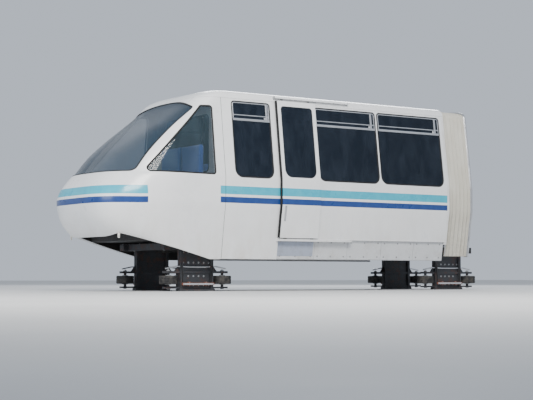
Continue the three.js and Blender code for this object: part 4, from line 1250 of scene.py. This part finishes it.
def place(b_, cush, at, flip=False):
    v, faces = cush
    x = v[:, 0]
    if flip:
        x = -x
        faces = [f[::-1] for f in faces]
    b_.add(np.column_stack([x + at[0], v[:, 1] + at[1], v[:, 2] + at[2]]), faces, 0)


def piping(lx, ly, z, cush):
    """a welt along the upper edge of a cushion, following the stuffed shape"""
    v = cush[0]
    out_ = []
    N_ = 72
    for i in range(N_):
        a = 2 * math.pi * i / N_
        ca, sa = math.cos(a), math.sin(a)
        k = 1 / max(abs(ca) / (lx / 2), abs(sa) / (ly / 2))
        tx, ty = ca * k * .985, sa * k * .985
        sel = np.abs(v[:, 2] - z) < 12
        w = v[sel]
        j = np.argmin((w[:, 0] - tx) ** 2 + (w[:, 1] - ty) ** 2)
        out_.append((w[j, 0] * .995, w[j, 1] * .995, z))
    p = np.array(out_)
    for _ in range(3):
        p = (np.roll(p, 1, 0) + 2 * p + np.roll(p, -1, 0)) / 4
    return [tuple(q) for q in p]


mods = {}
for key, w in (("a", 566.0), ("b", 574.0)):
    mods["seat" + key] = (cushion(386, w - 6, 122, 26, 15, 16, channels=((1, 0, 7, 9), (0, 60, 6, 9))), 386, w - 6, 122)
    mods["back" + key] = (cushion(592, w - 6, 96, 24, 15, 14, channels=((1, 0, 6, 9), (0, -120, 6, 9), (0, 90, 6, 9))), 592, w - 6, 96)
PIPE = fabric("seat_piping", (.012, .03, .10), (.02, .045, .14), .003)


def pad(name, x0, x1, back, y0, y1, count, base_z=1040, top_z=1165, head_z=1760, D=110, kind="a", piece_body="car"):
    """cushions inside one bench pad: back is 'low' or 'high'"""
    b_ = Build(SEAT, PIPE)
    w = (y1 - y0) / count
    seat, sl, sw, sh = mods["seat" + kind]
    bk, bl, bw, bh = mods["back" + kind]
    sgn = 1 if back == "low" else -1
    xb = x0 if back == "low" else x1                                # the plane of the back's rear face
    ps = piping(sl, sw, sh / 2 - 26, mods["seat" + kind][0])
    pb = piping(bl, bw, bh / 2 - 22, mods["back" + kind][0])
    tilt = math.radians(2.7)
    for k in range(count):
        yc = y0 + w * (k + .5)
        place(b_, seat, (xb + sgn * (D + sl / 2 - 10), yc, base_z + 1 + sh / 2), back != "low")
        b_.tube([(xb + sgn * (D + sl / 2 - 10) + sgn * p[0], yc + p[1], base_z + 1 + sh / 2 + p[2]) for p in ps], 2.8, 8, 1, True)
        # the back cushion stands on its end: its x axis becomes height and its crowned side faces forward
        v, faces = bk
        pts = np.column_stack([xb + sgn * (bh / 2 + 1 + v[:, 2] * math.cos(tilt)), v[:, 1] + yc, v[:, 0] + head_z - 2 - bl / 2])
        b_.add(pts, faces if sgn < 0 else [f[::-1] for f in faces], 0)
        b_.tube([(xb + sgn * (bh / 2 + 1 + p[2]), yc + p[1], p[0] + head_z - 2 - bl / 2) for p in pb], 2.8, 8, 1, True)
    o = b_.obj(name, piece_body, "seat_fabric", ["bench_" + name.split("_")[1] + "_pad"] if name.startswith("bench") else ["driver_seat_pad"], 50)
    return o


pad("bench_rear_cushions", 62, 560, "low", -850, 850, 3)
pad("bench_front_cushions", 3440, 3925, "high", -850, 850, 3)
pad("bench_middle_cushions", 1665, 2155, "high", -850, 300, 2, kind="b")
mods["seatd"] = (cushion(348, 552, 103, 30, 13, 14, channels=((1, 150, 6, 9), (1, -150, 6, 9))), 348, 552, 103)
mods["backd"] = (cushion(860, 552, 80, 26, 14, 12, channels=((1, 150, 6, 9), (1, -150, 6, 9), (0, 250, 6, 9), (0, -60, 6, 9))), 860, 552, 80)
pad("driver_cushions", 4000, 4440, "low", -560, 560, 2, 1120.5, 1225, 2008, 100, "d")

# ------------------------------------------------------------------ bogies
for e, bx in BOGIES:
    bog = e + "_bogie"
    # load wheels: ribbed tyres on dished rims, on one axle
    b = Build(TYRE, RIM, BOLT, DARK)
    R_ = WHEEL_R
    for s in (1, -1):
        tread = [(205, 157), (216, 160), (222, 170), (224.6, 188)]
        for g in (206, 224, 242, 260, 278):
            tread += [(224.7, g - 4.5), (219.5, g - 3), (219.5, g + 3), (224.7, g + 4.5)]
        tread += [(224.6, 296), (221, 314), (214, 324), (205, 327.5), (190, 329), (170, 328.6), (150, 325), (138, 318), (131, 306),
                  (131, 178), (138, 166), (150, 158), (170, 155.5), (190, 155.4)]
        b.lathe([(r, s * h) for r, h in (tread if s > 0 else tread[::-1])], (bx, 0, AXLE_Z), "y", 72, 0, True)
        rim = [(130.6, 172), (130.6, 312), (136, 319), (136, 322.5), (130, 324.5), (121, 318), (119, 300), (112, 284.6), (70, 273), (66, 276),
               (60, 300), (60, 338), (56, 344), (36, 344.6), (34, 350), (30, 351), (.5, 351), (.5, 200), (64, 190), (64, 141), (118, 153), (124, 160)]
        b.lathe([(r, s * h) for r, h in (rim if s > 0 else rim[::-1])], (bx, 0, AXLE_Z), "y", 64, 1, True)
        for k in range(8):
            a = 2 * math.pi * k / 8 + .2
            b.bolt((bx + 90 * math.sin(a), s * 278.5, AXLE_Z + 90 * math.cos(a)), "y", s, 9, 13, 2)
        for k in range(12):
            a = 2 * math.pi * k / 12
            b.lathe([(.5, s * 0), (5, 0), (5, s * 3), (.5, s * 3)], (bx + 127 * math.sin(a), s * 321, AXLE_Z + 127 * math.cos(a)), "y", 10, 2)
        b.tube([(bx + 108, s * 290, AXLE_Z + 20), (bx + 110, s * 306, AXLE_Z + 20)], 4, 8, 3)
    b.lathe([(.5, -200), (34.5, -200), (34.5, 200), (.5, 200)], (bx, 0, AXLE_Z), "y", 40, 2)
    b.obj(e + "_wheel_pair", e + "_axle", "tyre_rubber", [e + "_wheelset"], 28)
    # guide wheels
    for ax_, sx in (("fore", 1), ("aft", -1)):
        for side, s in SIDES:
            c = (bx + sx * GW["x"], s * GW["y"], GW["z"])
            b = Build(TYRE, RIM, BOLT)
            b.lathe([(84, -49), (104, -55), (113, -56), (120.6, -50), (122.9, -40), (123, -22), (119.8, -20), (119.8, -15), (123, -13), (123, 13), (119.8, 15),
                     (119.8, 20), (123, 22), (122.9, 40), (120.6, 50), (113, 56), (104, 55), (84, 49)], c, "z", 56, 0, True)
            b.lathe([(83.6, -50), (88, -54), (84, -56), (78, -50), (70, -44), (46, -46), (42, -60), (38, -63.5), (21.4, -63.5), (21.4, 63.5), (38, 63.5), (42, 60),
                     (46, 46), (70, 44), (78, 50), (84, 56), (88, 54), (83.6, 50)], c, "z", 48, 1, True)
            for k in range(6):
                a = math.pi * k / 3 + .3
                for t in (1, -1):
                    b.bolt((c[0] + 59 * math.cos(a), c[1] + 59 * math.sin(a), c[2] + t * 45), "z", t, 6, 7, 2)
            n = f"{e}_guide_{ax_}_{side}"
            b.obj(f"{e}_guide_tyre_{ax_}_{side}", n, "guide_tyre", [f"{e}_guide_wheel_{ax_}_{side}"], 28)
    # motor: finned casing with end bells
    b = Build(MOTOR, BOLT, RUBBER)
    prof = [(.5, -424), (66, -424), (70, -420), (82, -412), (84, -408), (84, -382), (90, -378), (96, -370)]
    h = -366
    while h < -156:
        prof += [(92, h), (92, h + 7), (103.4, h + 8.5), (103.4, h + 12), (92, h + 13.5)]
        h += 15
    prof += [(92, -150), (86, -142), (86, -114), (84, -113.2), (.5, -113.2)]
    b.lathe([(r, hh) for r, hh in prof], (bx, 0, AXLE_Z), "x", 48)
    for k in range(8):
        a = 2 * math.pi * k / 8
        b.bolt((bx - 420, 60 * math.cos(a), AXLE_Z + 60 * math.sin(a)), "x", -1, 5, 4, 1)
    b.obj(e + "_motor_casing", bog, "motor_casting", [e + "_motor"], 30)
    # collectors: insulated bar with a worn shoe, two spring arms
    for side, s in SIDES:
        b = Build(RUST, ALU, BOLT)
        y = lambda a, c_: sorted((s * a, s * c_))
        b.prism(rounded([(bx - 249.6, 78.4), (bx + 249.6, 78.4), (bx + 249.6, 111.6), (bx - 249.6, 111.6)], 9), *y(664.4, 680), "y", 1.5)
        b.prism(rounded([(bx - 236, 84), (bx + 236, 84), (bx + 236, 106), (bx - 236, 106)], 6), *y(680.3, 685.6), "y", 1.2, 1)
        for x in (-130, 130):
            b.prism(rounded([(bx + x - 19.5, 66.4), (bx + x + 19.5, 66.4), (bx + x + 19.5, 123.6), (bx + x - 19.5, 123.6)], 5), *y(643, 664), "y", 2)
            for z in (72.5, 117.5):
                b.bolt((bx + x, s * 663.8, z), "y", s, 4.5, 3.5, 2)
        for x in (-225, 0, 225):
            b.bolt((bx + x, s * 685.2, 95), "y", s, 4, .7, 2)
        b.obj(f"{e}_collector_bar_{side}", bog, "collector_brown", [f"{e}_collector_{side}"])
    # fixings and gussets on the frame
    b = Build(BOGIE, BOLT, RUBBER, ALU)
    for s in (1, -1):
        for x in (-200, -120, -40, 40, 120, 200):
            for z in (80, 200, 380, 520):
                if z != 200 or abs(x) < 180:
                    b.bolt((bx + x, s * 611.6, z), "y", s, 9, 8, 1)
        for sx in (1, -1):
            for z0_, sg in ((268, 1),):
                b.prism([(bx + sx * 262, z0_), (bx + sx * 330, z0_), (bx + sx * 262, z0_ + 90)][:: sx], *sorted((s * 594, s * 606)), "y", 1)
            b.lathe([(.5, 0), (27, 0), (27, 5), (22, 10), (22, 16), (.5, 16)], (bx + sx * GW["x"], s * GW["y"], 268), "z", 24, 1)
            b.lathe([(.5, 0), (26, 0), (26, -4), (19, -10), (.5, -10)], (bx + sx * GW["x"], s * GW["y"], 34), "z", 24, 1)
            b.bolt((bx + sx * GW["x"], s * GW["y"], 284), "z", 1, 9, 8, 1)
            for x in (380, 470):
                b.bolt((bx + sx * x, s * 570, 640), "z", 1, 10, 8, 1)
            b.block(bx + sx * 478 - 16, bx + sx * 478 + 16, *sorted((s * 512, s * 520.2)), 560, 632, 2)
        # hoses and rods along the hanging side
        b.tube([(bx - 470, s * 606, 300), (bx - 300, s * 622, 330), (bx - 120, s * 626, 322), (bx + 120, s * 626, 322), (bx + 300, s * 622, 330), (bx + 470, s * 606, 300)], 9, 10, 3)
        b.tube([(bx - 225, s * 640, 120), (bx - 225, s * 648, 200), (bx - 240, s * 640, 330), (bx - 250, s * 628, 470), (bx - 250, s * 610, 552)], 8, 10, 2)
        b.tube([(bx + 225, s * 640, 120), (bx + 225, s * 648, 200), (bx + 240, s * 640, 330), (bx + 250, s * 628, 470), (bx + 250, s * 610, 552)], 8, 10, 2)
        for x in (-262, 262):
            b.prism(rounded([(bx + x - 10, 28), (bx + x + 10, 28), (bx + x + 10, 44), (bx + x - 10, 44)], 3), *sorted((s * 556, s * 644)), "y", 1)
    for k in range(8):
        a = 2 * math.pi * k / 8 + .39
        b.bolt((bx + 48 * math.cos(a), 48 * math.sin(a), 883.6), "z", 1, 6, 5, 1)
    for sx in (1, -1):
        for y in (-260, 260):
            b.bolt((bx + sx * 380, y, 640), "z", 1, 9, 8, 1)
            b.bolt((bx + sx * 380, y * 1.6, 550), "z", -1, 9, 8, 1)
    b.obj(e + "_bogie_fittings", bog, "bogie_steel")

# ------------------------------------------------------------------ nose underside: the bright tab and a stiffening lip
b = Build(AMBER, BOLT)
tab_y = side_y(5388, 780, 20)                                      # half way into the wall of the moulding
for s in (1, -1):
    b.prism(rounded([(5374, 692), (5402, 692), (5404, 790), (5372, 790)], 6), *sorted((s * (tab_y - 3.5), s * (tab_y + 3.5))), "y", 1)
    b.bolt((5388, s * (tab_y + 3.3), 712), "y", s, 6, 4, 1)
b.obj("nose_tabs", "car", "body_white")
b = Build(WHITE, RUBBER)
for side, s in SIDES:
    xs = np.concatenate([np.linspace(3965, 4130, 6), np.linspace(4150, 5372, 40)])
    zf = lambda x: 430 if x <= 4130 else 430 + (x - 4130) / (5380 - 4130) * 340
    P, N = [], []
    for x in xs:
        z = zf(x) + 3
        P.append((x, s * side_y(x, z, 20), z))
        N.append(side_normal(x, z, s, 20))
    b.sweep(P, N, [(-4, -18), (-4, 16), (-1, 19.4), (4, 19.6), (6, 17), (6, -18)], closed=False, centre=(4700, 0, 3000))
b.obj("nose_lower_lip", "car", "body_white")
# ------------------------------------------------------------------ floor, light, camera
def make_stage():
    s = 60000
    floor = box_obj(XM - s, XM + s, -s, s, -60, 0, [stage_floor()])
    floor.name = "floor"
    world = bpy.data.worlds.new("studio")
    bpy.context.scene.world = world
    world.use_nodes = True
    bg = world.node_tree.nodes["Background"]
    bg.inputs["Color"].default_value = (.80, .88, 1.0, 1)
    bg.inputs["Strength"].default_value = .72

    def area(name, at, to, size, power, color=(1, 1, 1)):
        d = bpy.data.lights.new(name, "AREA")
        d.shape, d.size, d.size_y, d.energy, d.color = "RECTANGLE", size[0], size[1], power, color
        o = bpy.data.objects.new(name, d)
        bpy.context.scene.collection.objects.link(o)
        o.location = at
        o.rotation_euler = (Vector(to) - Vector(at)).to_track_quat("-Z", "Y").to_euler()
        return o

    area("key", (6, 10, 9), (0, 0, 1.2), (6, 4), 1900, (1, .97, .92))
    area("fill", (12, 3, 3.5), (1, 0, 1.2), (6, 4), 380, (.92, .96, 1))
    area("back", (-8, -9, 8), (0, 0, 1.5), (8, 5), 900, (.95, .97, 1))


def make_camera():
    cam_d = bpy.data.cameras.new("camera")
    cam = bpy.data.objects.new("camera", cam_d)
    bpy.context.scene.collection.objects.link(cam)
    at = Vector((11.217, 16.272, .18))
    look = Vector((.18, 0, 1.30))
    cam.location = at
    cam.rotation_euler = (look - at).to_track_quat("-Z", "Y").to_euler()
    cam_d.sensor_width, cam_d.lens = 36, 92
    cam_d.clip_end = 300
    cam_d.dof.use_dof = False
    bpy.context.scene.camera = cam


make_stage()
make_camera()
